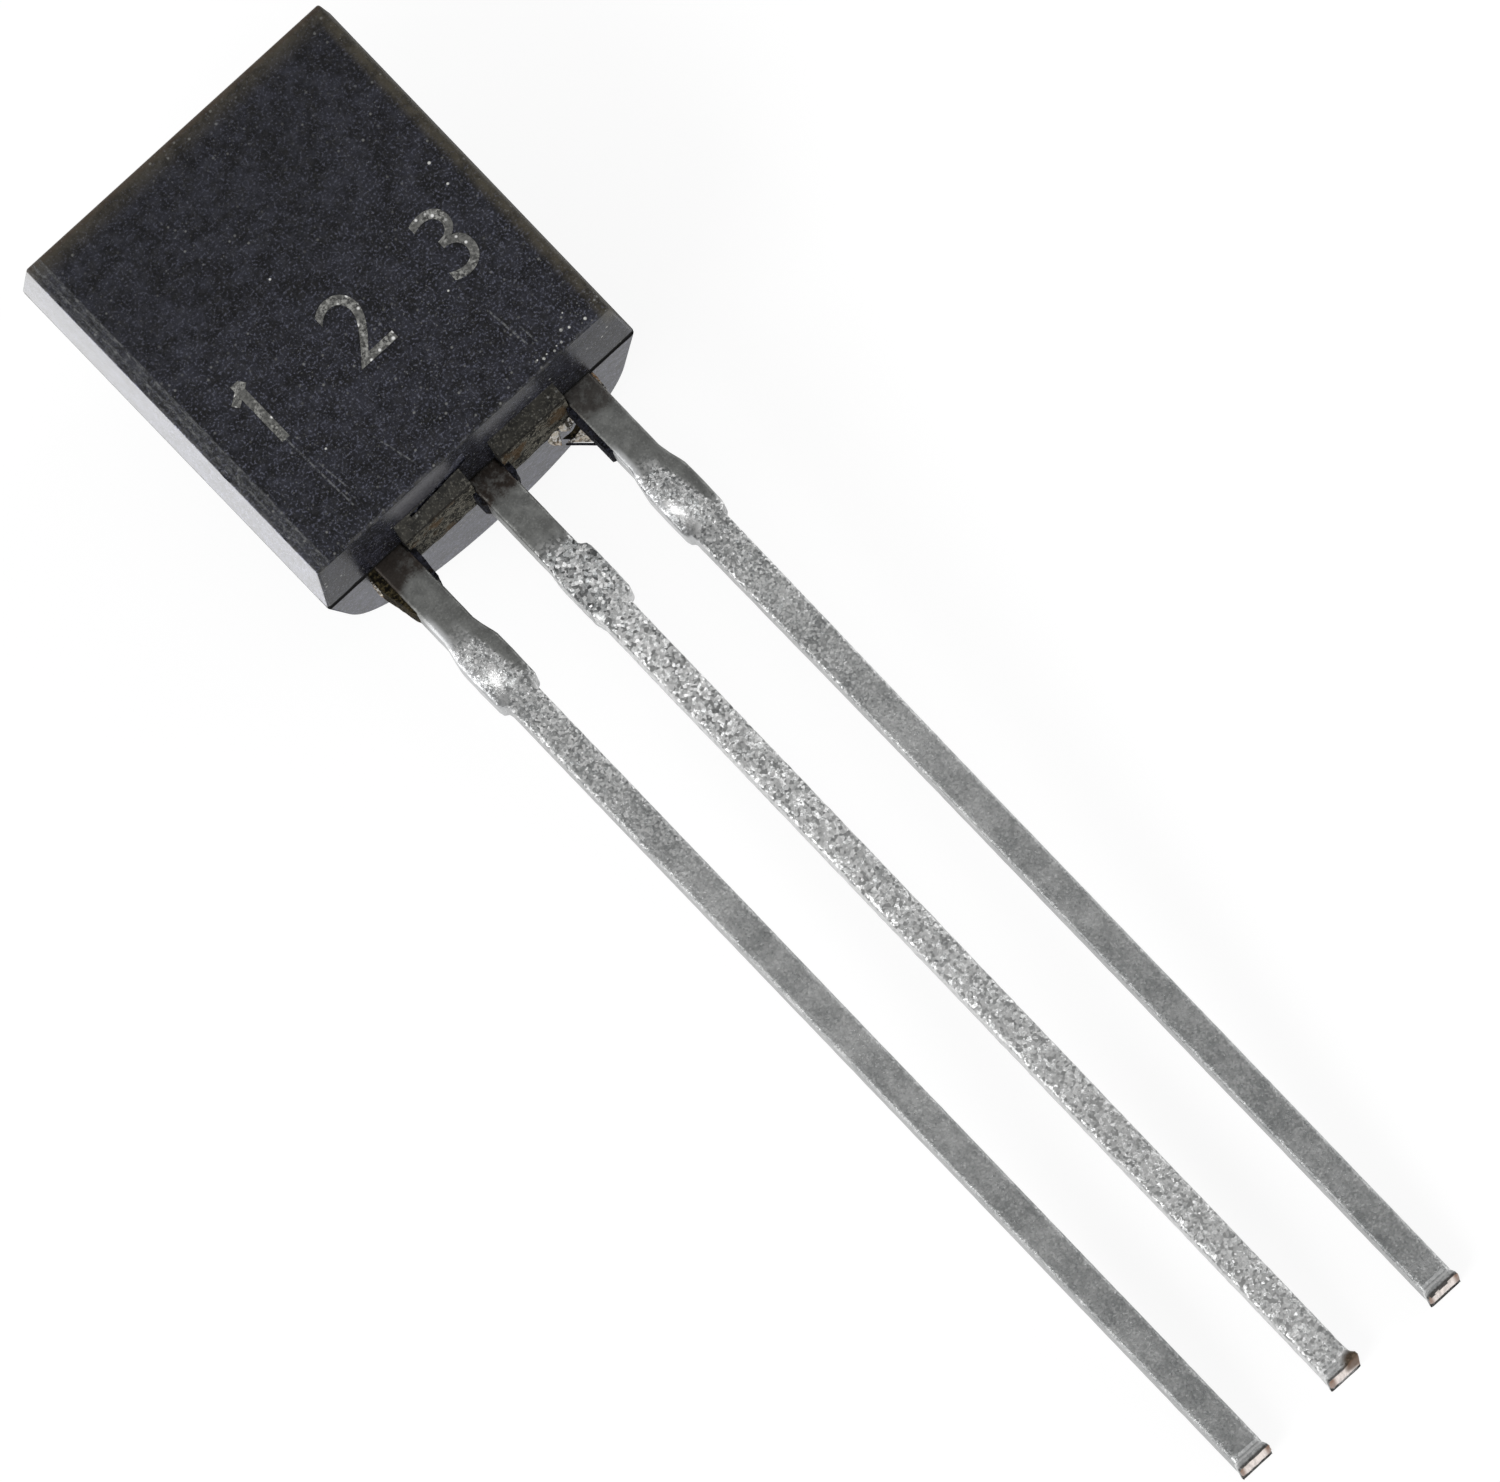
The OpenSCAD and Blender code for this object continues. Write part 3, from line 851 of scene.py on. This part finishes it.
def web_stub(s, lead, number, from_x, to_x):
    """The stub of the resin web between two leads, broken off unevenly."""
    wall_y = s["web_root_height"] * math.tan(s["end_draft"])
    inner_y = lead["wing_start"] / 2
    rise = (s["web_root_height"] - s["web_end_height"]) * (inner_y + s["web_out"]) / (wall_y + s["web_out"])
    web = block(f"web_{number}", (from_x, -s["web_out"], -lead["thickness"]),
                (to_x, inner_y, s["web_end_height"] + rise))
    push(web, lambda v: v.co.y < 0 and v.co.z > 0, (0, 0, -rise))
    outside = lambda f: f.normal.y < -0.9
    need(pick(web, "faces", outside), "broken end")
    bpy.ops.mesh.subdivide(number_cuts=9)
    jitter(web, lambda v: v.co.y < -s["web_out"] + 1e-4, 0.012, number)
    bpy.ops.object.mode_set(mode="OBJECT")
    return web


def crack(s):
    """The open crack at the root of the first web, as the tool that cuts it."""
    wall_y = s["web_root_height"] * math.tan(s["end_draft"])
    start, end = Vector((-0.87, wall_y - 0.03, 0.5)), Vector((-0.08, wall_y + 0.018, 0.5))
    middle, run = (start + end) / 2, end - start
    tool = primitive("cube", "crack", size=1, scale=(run.length, 0.024, 0.5), location=middle,
                     rotation=(0, 0, math.atan2(run.y, run.x)))
    need(pick(tool, "edges", lambda e: abs(e.verts[0].co.x - e.verts[1].co.x) > 0.1), "long edge")
    bpy.ops.mesh.subdivide(number_cuts=13)
    jitter(tool, lambda v: True, 0.007, 4)
    bpy.ops.object.mode_set(mode="OBJECT")
    return tool


def edge_chips(s):
    """Small chips out of the moulded edges, as the tools that cut them."""
    half = s["width"] / 2 - s["flat_height"] * math.tan(s["side_draft"])
    low_y = s["flat_height"] * math.tan(s["end_draft"])
    left = [(1.52, 0.055), (0.62, 0.03), (3.1, 0.022), (2.35, 0.018), (4.02, 0.025)]
    right = [(0.5, 0.03), (2.7, 0.02), (3.75, 0.025)]
    low = [(-1.62, 0.04), (0.72, 0.022), (1.5, 0.03)]
    seam = [(1.9, 0.035), (3.4, 0.03)]
    places = [(-half, y, s["flat_height"], r) for y, r in left]
    places += [(half, y, s["flat_height"], r) for y, r in right]
    places += [(x, low_y, s["flat_height"], r) for x, r in low]
    places += [(-s["width"] / 2, y, 0, r) for y, r in seam]
    chips = []
    for number, (x, y, z, r) in enumerate(places):
        chip = primitive("ico_sphere", f"chip_{number}", subdivisions=2, radius=r,
                         location=(x, y, z), scale=(1, 1.9, 0.8))
        jitter(chip, lambda v: True, 0.25 * r, number)
        bpy.ops.object.mode_set(mode="OBJECT")
        chips.append(chip)
    return joined("chips", chips)


def moulded_in(names):
    """The nodes that the resin holds, as one upright tool that cuts their pockets."""
    tools = []
    for name in names:
        mesh = frame["nodes"][name].data.copy()
        mesh.transform(lying().inverted())
        mesh.materials.clear()
        tool = bpy.data.objects.new(name + "_pocket", mesh)
        bpy.context.scene.collection.objects.link(tool)
        pick(tool, "verts", lambda v: True)
        bpy.ops.mesh.remove_doubles(threshold=1e-4)
        bpy.ops.object.mode_set(mode="OBJECT")
        tools.append(tool)
    return tools


class TRANSISTOR_OT_moulding(bpy.types.Operator):
    """Model the moulded body with its webs, groove and chips"""

    bl_idname = "transistor.moulding"
    bl_label = "Moulded body"

    def execute(self, context):
        s, lead = mm("moulding_sizes"), mm("lead_sizes")
        body = body_blank(s)
        round_edges(body, s)
        f = settings("finishes")
        # Painted sheen: the left wall's colour is nine times the resin's, for the bright grazing reflection on
        # that side. It fades to dark resin where the wall runs into the back.
        painted_sheen_resin = [9 * c for c in f.resin]
        materials = [
            resin_finish("moulded_resin", f.resin, 0.42, 1.36, contrast=1.6),
            torn_finish("torn_resin", "torn_resin"),
            resin_finish("web_resin", [0.2 * c for c in f.torn_resin], 0.6, 1.33),
            resin_finish("left_wall_resin", painted_sheen_resin, 0.2, 1.5, coat=1.0, wall=True),
            resin_finish("right_wall_resin", [0.036, 0.034, 0.03], 0.9, wall=True),
            resin_finish("front_end_resin", f.resin, 0.22, 1.35),
            # Painted light: the rear end's colour is three times the resin's, for the brighter reflection on
            # that face.
            resin_finish("rear_end_resin", [3 * c for c in f.resin], 0.42, 1.42),
        ]
        paint(body, *materials)
        pitch, half_root = PITCH / MM, lead["root_width"] / 2
        for number, start in enumerate((-pitch, 0), 1):
            web = web_stub(s, lead, number, start + half_root, start + pitch - half_root)
            paint(web, *materials)
            for face in web.data.polygons:
                face.material_index = TORN if face.center.y < 0.02 - s["web_out"] else WEB
            carve(body, web, "UNION")
        carve(body, crack(s))
        carve(body, edge_chips(s))
        for tool in moulded_in(["base_wire", "emitter_wire", "collector_lead", "base_lead", "emitter_lead",
                                "die_bond", "die"]):
            carve(body, tool)
        for face in body.data.polygons:
            across, along, out = face.normal
            if face.material_index:
                continue
            if abs(across) > 0.9:
                face.material_index = LEFT_WALL if across < 0 else RIGHT_WALL
            elif abs(along) > 0.9:
                face.material_index = FRONT_END if out > 0 else REAR_END
        settle(body, even=True)
        dress(body, "moulding", "body")
        return {"FINISHED"}


# Leads


def strip_rows(lead, reach, left_shoulder, right_shoulder, slope, flare):
    """The outline of a lead below the body: height, left and right edge about the lead's middle."""
    root, blade = lead["root_width"] / 2, lead["blade_width"] / 2
    wide = lead["stub_width"] / 2
    start, end = lead["stub_start"], lead["stub_start"] + lead["stub_length"]
    left, right = wide + left_shoulder, wide + right_shoulder
    return [
        (-start + slope, -root, root),
        (-start + 0.5 * slope, -root - 0.4 * (left - root), root + 0.3 * (right - root)),
        (-start, -left + 0.012, right - 0.014),
        (-start - lead["neck"], -left + 0.004, right),
        (-start - 0.3, -left, right + 0.003),
        (-end + 0.08, -left + 0.003, right),
        (-end + 0.02, -left + 0.018, right - 0.005),
        (-end - 0.01, -blade - 0.014, blade + 0.01),
        (-end - lead["neck"], -blade - flare, blade + flare),
        (-end - 3.6, -blade, blade),
        (-reach, -blade, blade),
    ]


def strip(name, x, inner_end, rows, lead):
    """A strip of the leads' thickness that follows the rows."""
    half = lead["root_width"] / 2
    piece = primitive("plane", name, size=1, location=(x, inner_end / 2, 0),
                      scale=(2 * half, inner_end, 1))
    last = 0.0
    for y, left, right in rows:
        need(pick(piece, "edges", lambda e: all(abs(v.co.y - last) < 1e-4 for v in e.verts)), "end")
        bpy.ops.mesh.extrude_edges_move(TRANSFORM_OT_translate={"value": (0, y - last, 0)})
        last = y
        here = lambda v: abs(v.co.y - last) < 1e-4
        side_x = [v.co.x for v in bmesh.from_edit_mesh(piece.data).verts if here(v)]
        push(piece, lambda v: here(v) and v.co.x < x, (x + left - min(side_x), 0, 0))
        push(piece, lambda v: here(v) and v.co.x > x, (x + right - max(side_x), 0, 0))
    pick(piece, "faces", lambda f: True)
    bpy.ops.mesh.extrude_region_move(TRANSFORM_OT_translate={"value": (0, 0, -lead["thickness"])})
    outward(piece)
    return piece


def inner_bar(lead, x, width, from_y, to_y):
    """A wing, paddle or post of the lead, inside the resin."""
    return block("inner_bar", (x - width / 2, from_y, -lead["thickness"]), (x + width / 2, to_y, 0))


def plated_edges(piece, lead):
    """Rounds the edges of the strip."""
    long_edge = lambda e: e.calc_face_angle(0) > 0.9 and not all(v.co.y > 0 for v in e.verts)
    need(pick(piece, "edges", long_edge), "edge of the strip")
    bpy.ops.mesh.bevel(offset=lead["edge_radius"], segments=3, profile=0.5, clamp_overlap=True)
    outward(piece)


def slice_up(piece, x, lead, reach):
    """Cuts the strip into short lengths, and the stub into narrow ones as well."""
    step = 0.09
    for number in range(1, int(reach / step)):
        cut(piece, (0, -number * step, 0), (0, 1, 0), clear=False)
    for offset in (-0.21, -0.15, -0.1, -0.05, 0, 0.05, 0.1, 0.15, 0.21):
        cut(piece, (x + offset, 0, 0), (1, 0, 0), clear=False)
    for from_tip in (0.16, 0.13, 0.1, 0.05):
        cut(piece, (0, from_tip - reach, 0), (0, 1, 0), clear=False)
    for offset in (-0.1, -0.19, -0.28):
        cut(piece, (0, 0, offset), (0, 0, 1), clear=False)
    bpy.ops.object.mode_set(mode="OBJECT")


def dent(piece, point, by, radius):
    """Pushes the surface round a point, with a smooth fall-off."""
    point = Vector(point)
    near = lambda v: (v.co - point).length < 0.3 * radius + 0.02
    if not pick(piece, "verts", near):
        return
    bpy.ops.transform.translate(value=by, orient_type="GLOBAL", use_proportional_edit=True,
                                proportional_edit_falloff="SMOOTH", proportional_size=radius)


def crown(piece, x, lead, drop):
    """Rounds off the long edges of the stub, which the press has squeezed."""
    side = lead["stub_width"] / 2
    for step in range(5):
        y = -lead["stub_start"] - 0.02 - step * 0.15
        for edge_x in (x - side, x + side):
            dent(piece, (edge_x, y, 0), (0, 0, -drop), 0.15)


def sheared_tip(piece, x, reach, burr):
    """Shapes the sheared end: a groove, a flare, a ragged bare face, and a burr at one corner."""
    groove = lambda v: 0.09 < v.co.y + reach < 0.14 and v.co.z > -0.1
    push(piece, groove, (0, 0, -0.02))
    pick(piece, "verts", lambda v: v.co.y < 0.06 - reach)
    bpy.ops.transform.resize(value=(1.09, 1, 1.03), center_override=(x - 0.05, -reach, -0.1))
    pick(piece, "verts", lambda v: v.co.y < 0.02 - reach)
    bpy.ops.transform.resize(value=(1.03, 1, 1), center_override=(x - 0.1, -reach, -0.1))
    jitter(piece, lambda v: v.co.y < 0.02 - reach, 0.006, 3)
    push(piece, lambda v: v.co.y < 0.02 - reach and v.co.z < -0.24, (0, 0.045, 0))
    if burr:
        dent(piece, (x + 0.19, -reach, 0), (0.025, 0.035, 0), 0.16)
    bpy.ops.object.mode_set(mode="OBJECT")
    for face in piece.data.polygons:
        face.material_index = 1 if face.normal.y < -0.6 and face.center.y < 0.04 - reach else 0


class TRANSISTOR_OT_leads(bpy.types.Operator):
    """Model the three stamped and tinned leads"""

    bl_idname = "transistor.leads"
    bl_label = "Leads"

    def execute(self, context):
        lead = mm("lead_sizes")
        pitch, reach = PITCH / MM, lead["reach"]
        wings = lead["wing_start"], lead["wing_start"] + lead["wing_length"]
        inner, post = lead["inner_start"], lead["post_length"]
        paddle_x = -pitch - lead["paddle_side"] + lead["paddle_width"] / 2
        outer = tin_finish("outer_tin", 0.0, 1.15, 0.85)
        middle = tin_finish("middle_tin", 1.0, 2.3, 0.9)
        copper = copper_finish()
        plans = [
            ("first_lead", "collector_lead", "tinned_outer_lead", -pitch, inner, reach, (0.0, 0.006, 0.22, 0),
             outer, [(paddle_x, lead["paddle_width"], inner, inner + lead["paddle_length"])]),
            ("middle_lead", "base_lead", "tinned_middle_lead", 0.0, wings[1], reach - lead["middle_short"],
             (-0.037, 0.02, 0.06, 0), middle, [(0.0, lead["post_width"], wings[1], wings[1] + post)]),
            ("third_lead", "emitter_lead", "tinned_outer_lead", pitch, inner, reach, (0.0, 0.012, 0.25, 0.018),
             outer, [(pitch, lead["post_width"], inner, inner + post)]),
        ]
        for name, node, slot, x, inner_end, long, stub, tin, bars in plans:
            is_middle = node == "base_lead"
            rows = strip_rows(lead, long, *stub)
            piece = strip(name, x, inner_end, rows, lead)
            plated_edges(piece, lead)
            paint(piece, tin, copper)
            for bar_x, width, from_y, to_y in [(x, lead["wing_width"], *wings), *bars]:
                carve(piece, inner_bar(lead, bar_x, width, from_y, to_y), "UNION")
            slice_up(piece, x, lead, long)
            stub_end = -lead["stub_start"] - lead["stub_length"]
            if is_middle:
                dent(piece, (x + 0.05, -lead["stub_start"] - 0.1, 0), (0, 0, -0.02), 0.1)
                dent(piece, (x - 0.12, stub_end + 0.1, 0), (0, 0, 0.02), 0.1)
            else:
                crown(piece, x, lead, 0.02)
                dent(piece, (x - 0.17, stub_end + 0.13, 0), (0, 0, -0.05), 0.24)
            sheared_tip(piece, x, long, is_middle)
            roughen(piece, 0.07, 0.012 if is_middle else 0.006)
            if is_middle:
                pick(piece, "verts", lambda v: v.co.y < stub_end - lead["neck"])
                bpy.ops.transform.rotate(value=lead["middle_lean"], orient_axis="Z",
                                         center_override=(x, stub_end, 0))
            outward(piece)
            settle(piece)
            dress(piece, slot, node)
        return {"FINISHED"}


# Resin flash


def shard(name, corners, z_low, z_high, seed, torn):
    """A flake of resin: a flat polygon with thickness and torn edges. corners run round it."""
    mesh = bpy.data.meshes.new(name)
    mesh.from_pydata([(x, y, z_low) for x, y in corners], [], [list(range(len(corners)))])
    piece = bpy.data.objects.new(name, mesh)
    bpy.context.scene.collection.objects.link(piece)
    pick(piece, "faces", lambda f: True)
    bpy.ops.mesh.extrude_region_move(TRANSFORM_OT_translate={"value": (0, 0, z_high - z_low)})
    pick(piece, "edges", lambda e: True)
    bpy.ops.mesh.subdivide(number_cuts=4)
    jitter(piece, lambda v: True, torn, seed)
    outward(piece)
    return piece


class TRANSISTOR_OT_flash(bpy.types.Operator):
    """Model the flakes of resin flash that cling to the roots of the leads"""

    bl_idname = "transistor.flash"
    bl_label = "Resin flash"

    def execute(self, context):
        lead = mm("lead_sizes")
        pitch, root, thick = PITCH / MM, lead["root_width"] / 2, lead["thickness"]
        first, third = -pitch, pitch
        left_of_first, right_of_first = first - root, first + root
        left_of_third, right_of_third = third - root, third + root
        behind = -thick + 0.03
        brown, black, pale = range(3)
        plans = [
            (brown, behind, -0.02, 0.008, [
                (left_of_first - 0.08, 0.1), (left_of_first + 0.01, 0.1), (left_of_first + 0.01, -0.67),
                (left_of_first - 0.02, -0.6), (left_of_first - 0.055, -0.42), (left_of_first - 0.1, -0.2)]),
            (black, behind, -0.01, 0.006, [
                (right_of_first - 0.01, 0.1), (right_of_first + 0.06, 0.1), (right_of_first + 0.055, -0.25),
                (right_of_first + 0.03, -0.5), (right_of_first - 0.01, -0.52)]),
            (black, behind, -0.02, 0.005, [
                (-root - 0.045, 0.1), (-root + 0.01, 0.1), (-root + 0.01, -0.3), (-root - 0.04, -0.26)]),
            (black, behind, -0.01, 0.006, [
                (root - 0.01, 0.1), (root + 0.06, 0.1), (root + 0.06, -0.22), (root - 0.01, -0.33)]),
            (black, behind, -0.01, 0.005, [
                (left_of_third - 0.045, 0.1), (left_of_third + 0.01, 0.1), (left_of_third + 0.01, -0.77),
                (left_of_third - 0.035, -0.75)]),
            (black, -thick, -thick + 0.03, 0.002, [
                (left_of_third - 0.255, -0.28), (left_of_third - 0.24, -0.27), (left_of_third + 0.01, -0.51),
                (left_of_third + 0.01, -0.54)]),
            (pale, -thick + 0.005, -thick + 0.02, 0.004, [
                (left_of_third - 0.225, -0.27), (left_of_third + 0.01, -0.25), (left_of_third + 0.01, -0.49)]),
            (pale, -thick + 0.03, -thick + 0.06, 0.01, [
                (left_of_third - 0.37, -0.14), (left_of_third - 0.27, -0.1), (left_of_third - 0.21, -0.13),
                (left_of_third - 0.29, -0.26), (left_of_third - 0.35, -0.2)]),
            (pale, -thick + 0.06, -thick + 0.09, 0.01, [
                (left_of_third - 0.2, -0.09), (left_of_third - 0.05, -0.09), (left_of_third - 0.04, -0.17),
                (left_of_third - 0.13, -0.21), (left_of_third - 0.2, -0.16)]),
            (brown, -thick + 0.03, -thick + 0.06, 0.008, [
                (left_of_third - 0.24, -0.22), (left_of_third - 0.12, -0.23), (left_of_third - 0.02, -0.2),
                (left_of_third - 0.03, -0.26), (left_of_third - 0.16, -0.29)]),
            (pale, -thick + 0.08, -0.08, 0.006, [
                (right_of_third - 0.01, 0.1), (right_of_third + 0.03, 0.1), (right_of_third + 0.022, -0.16),
                (right_of_third - 0.01, -0.3)]),
            (pale, -thick + 0.08, -0.1, 0.005, [
                (left_of_first - 0.105, -0.05), (left_of_first - 0.08, -0.05), (left_of_first - 0.09, -0.2),
                (left_of_first - 0.115, -0.18)]),
        ]
        materials = [torn_finish("brown_flash", "web"), torn_finish("black_flash", "resin"),
                     torn_finish("pale_flash", "thin_resin")]
        flakes = []
        for number, (kind, z_low, z_high, torn, corners) in enumerate(plans):
            flake = shard(f"flash_{number}", corners, z_low, z_high, number, torn)
            paint(flake, *materials)
            for face in flake.data.polygons:
                face.material_index = kind
            flakes.append(flake)
        flash = joined("resin_flash", flakes)
        settle(flash)
        dress(flash, "moulding")
        return {"FINISHED"}


# Pin numbers


class TRANSISTOR_OT_numbers(bpy.types.Operator):
    """Mark the pins with plain numbers"""

    bl_idname = "transistor.numbers"
    bl_label = "Pin numbers"

    height: FloatProperty(name="Height", description="Height of a number", default=0.86 * MM,
                          unit="LENGTH", subtype="DISTANCE", precision=5)
    row: FloatProperty(name="Row", description="Distance from the lead end to the row's middle",
                       default=1.72 * MM, unit="LENGTH", subtype="DISTANCE", precision=5)

    def execute(self, context):
        s = mm("moulding_sizes")
        marks = []
        for number in range(3):
            bpy.ops.object.select_all(action="DESELECT")
            bpy.ops.object.text_add()
            mark = context.active_object
            mark.data.body = str(number + 1)
            mark.data.size = self.height / MM / 0.73
            mark.data.align_x = "CENTER"
            mark.data.align_y = "CENTER"
            mark.data.offset = -0.008
            mark.data.extrude = 0.006
            bpy.ops.object.convert(target="MESH")
            mark.location = ((number - 1) * PITCH / MM, self.row / MM, s["flat_height"])
            bpy.ops.object.transform_apply(location=True, rotation=True, scale=True)
            outward(mark)
            marks.append(mark)
        top = max((v.co for v in marks[0].data.vertices), key=lambda co: co.y + co.x)
        flag = block("flag", (top.x - 0.27, top.y - 0.09, s["flat_height"] - 0.006),
                     (top.x, top.y, s["flat_height"] + 0.006))
        pick(flag, "verts", lambda v: True)
        bpy.ops.transform.rotate(value=math.radians(-35), orient_axis="Z", center_override=tuple(top))
        bpy.ops.object.mode_set(mode="OBJECT")
        carve(marks[0], flag, "UNION")
        numbers = joined("pin_numbers", marks)
        outward(numbers)
        paint(numbers, mark_finish())
        settle(numbers)
        dress(numbers, "moulding")
        return {"FINISHED"}


# Inside


class TRANSISTOR_OT_inside(bpy.types.Operator):
    """Finish the chip, its bond and its wires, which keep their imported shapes"""

    bl_idname = "transistor.inside"
    bl_label = "Chip and wires"

    def execute(self, context):
        gold = inner_finish("gold", (0.83, 0.60, 0.20), 1.0, 0.18, 30)
        finishes = {
            "die": inner_finish("silicon", (0.11, 0.12, 0.15), 0.3, 0.12, 20),
            "die_bond": inner_finish("silver_solder", (0.6, 0.6, 0.58), 1.0, 0.4, 25),
            "base_wire": gold,
            "emitter_wire": gold,
        }
        for name, material in finishes.items():
            node = frame["nodes"][name]
            if not node.material_slots:
                node.data.materials.append(None)
            for material_slot in node.material_slots:
                material_slot.material = material
        return {"FINISHED"}


# Stage


def floor_finish():
    """A pale floor that reads as white and keeps the part's soft shadow."""
    material = bpy.data.materials.new("pale_floor")
    material.use_nodes = True
    tree = material.node_tree
    tree.nodes.clear()
    paths = tree.nodes.new("ShaderNodeLightPath").outputs
    seen = sum_up(tree, "ADD", paths["Is Camera Ray"], paths["Is Glossy Ray"], clamp=True)
    seen = sum_up(tree, "ADD", seen, paths["Is Transmission Ray"], clamp=True)
    pale = put(tree, "ShaderNodeBsdfDiffuse", {"Color": (0.8, 0.8, 0.8, 1)}).outputs[0]
    shade = put(tree, "ShaderNodeBsdfDiffuse", {"Color": (0.2, 0.2, 0.2, 1)}).outputs[0]
    glow = put(tree, "ShaderNodeEmission", {"Color": (1, 1, 1, 1), "Strength": 0.86}).outputs[0]
    white = put(tree, "ShaderNodeAddShader", {0: shade, 1: glow}).outputs[0]
    mixed = put(tree, "ShaderNodeMixShader", {0: seen, 1: pale, 2: white}).outputs[0]
    put(tree, "ShaderNodeOutputMaterial", {"Surface": mixed})
    return material


def studio_sky(stage):
    """White to the camera. As a light, white round the horizon, dimmer overhead and to the right."""
    world = bpy.data.worlds.new("studio")
    bpy.context.scene.world = world
    world.use_nodes = True
    tree = world.node_tree
    tree.nodes.clear()
    direction = tree.nodes.new("ShaderNodeTexCoord").outputs["Generated"]
    side, _, height = put(tree, "ShaderNodeSeparateXYZ", {0: direction}).outputs
    strength = fade(tree, height, 0.25, 0.93, stage.horizon, stage.zenith)
    strength = sum_up(tree, "MULTIPLY", strength, fade(tree, side, 0.12, 0.7, 1.0, stage.right_side))
    seen = tree.nodes.new("ShaderNodeLightPath").outputs["Is Camera Ray"]
    strength = sum_up(tree, "MAXIMUM", strength, seen)
    sky = put(tree, "ShaderNodeBackground", {"Color": (1, 1, 1, 1), "Strength": strength})
    put(tree, "ShaderNodeOutputWorld", {"Surface": sky.outputs[0]})


def lamp(name, azimuth, elevation, distance, size, power):
    """A square soft lamp that faces the part."""
    data = bpy.data.lights.new(name, "AREA")
    data.shape = "SQUARE"
    data.size = size
    data.energy = power
    made = bpy.data.objects.new(name, data)
    bpy.context.scene.collection.objects.link(made)
    made.matrix_world = aimed(Vector((0, 0, 0)), math.radians(azimuth), math.radians(elevation), 0.0,
                              distance)


def aimed(target, azimuth, elevation, roll, distance):
    """The matrix of a camera or lamp that looks at a point from that side and height."""
    turn = (Matrix.Rotation(azimuth, 4, "Z") @ Matrix.Rotation(math.pi / 2 - elevation, 4, "X")
            @ Matrix.Rotation(roll, 4, "Z"))
    return Matrix.Translation(target + turn @ Vector((0, 0, distance))) @ turn


class TRANSISTOR_OT_stage(bpy.types.Operator):
    """Set up the floor, the lights and the photograph's camera"""

    bl_idname = "transistor.stage"
    bl_label = "Stage"

    def execute(self, context):
        stage = settings("stage_sizes")
        bpy.ops.object.select_all(action="DESELECT")
        bpy.ops.mesh.primitive_plane_add(size=stage.floor_size)
        floor = context.active_object
        floor.name = "floor"
        floor.data.materials.append(floor_finish())
        studio_sky(stage)
        lamp("key_lamp", -62, 42, 0.5, 0.22, 0.9)
        lamp("fill_lamp", 75, 38, 0.6, 0.3, 0.6)
        data = bpy.data.cameras.new("camera")
        data.lens = stage.lens
        data.clip_start = stage.distance / 10
        data.clip_end = stage.distance * 100
        camera = bpy.data.objects.new("camera", data)
        context.scene.collection.objects.link(camera)
        aim = lying() @ Vector((0.0508, -3.9871, 0.0976))
        camera.matrix_world = aimed(aim, stage.azimuth, stage.elevation, stage.roll, stage.distance)
        context.scene.camera = camera
        context.scene.view_settings.view_transform = "Standard"
        return {"FINISHED"}


class TRANSISTOR_PT_panel(bpy.types.Panel):
    """Lists the steps that build the transistor"""

    bl_label = "Transistor"
    bl_idname = "TRANSISTOR_PT_panel"
    bl_space_type = "VIEW_3D"
    bl_region_type = "UI"
    bl_category = "Transistor"

    def draw(self, context):
        for step in STEPS:
            self.layout.operator(step.bl_idname)
        for group, kind in GROUPS.items():
            box = self.layout.box()
            for name in kind.__annotations__:
                box.prop(getattr(context.scene, group), name)


STEPS = [
    TRANSISTOR_OT_moulding,
    TRANSISTOR_OT_leads,
    TRANSISTOR_OT_flash,
    TRANSISTOR_OT_numbers,
    TRANSISTOR_OT_inside,
    TRANSISTOR_OT_stage,
]
CLASSES = [*GROUPS.values(), *STEPS, TRANSISTOR_PT_panel]


def register():
    for made in CLASSES:
        bpy.utils.register_class(made)
    for group, kind in GROUPS.items():
        setattr(bpy.types.Scene, group, PointerProperty(type=kind))


def unregister():
    for group in GROUPS:
        delattr(bpy.types.Scene, group)
    for made in reversed(CLASSES):
        bpy.utils.unregister_class(made)


def main():
    """Builds the whole scene."""
    register()
    for step in STEPS:
        family, name = step.bl_idname.split(".")
        getattr(getattr(bpy.ops, family), name)()


if __name__ == "__main__":
    main()
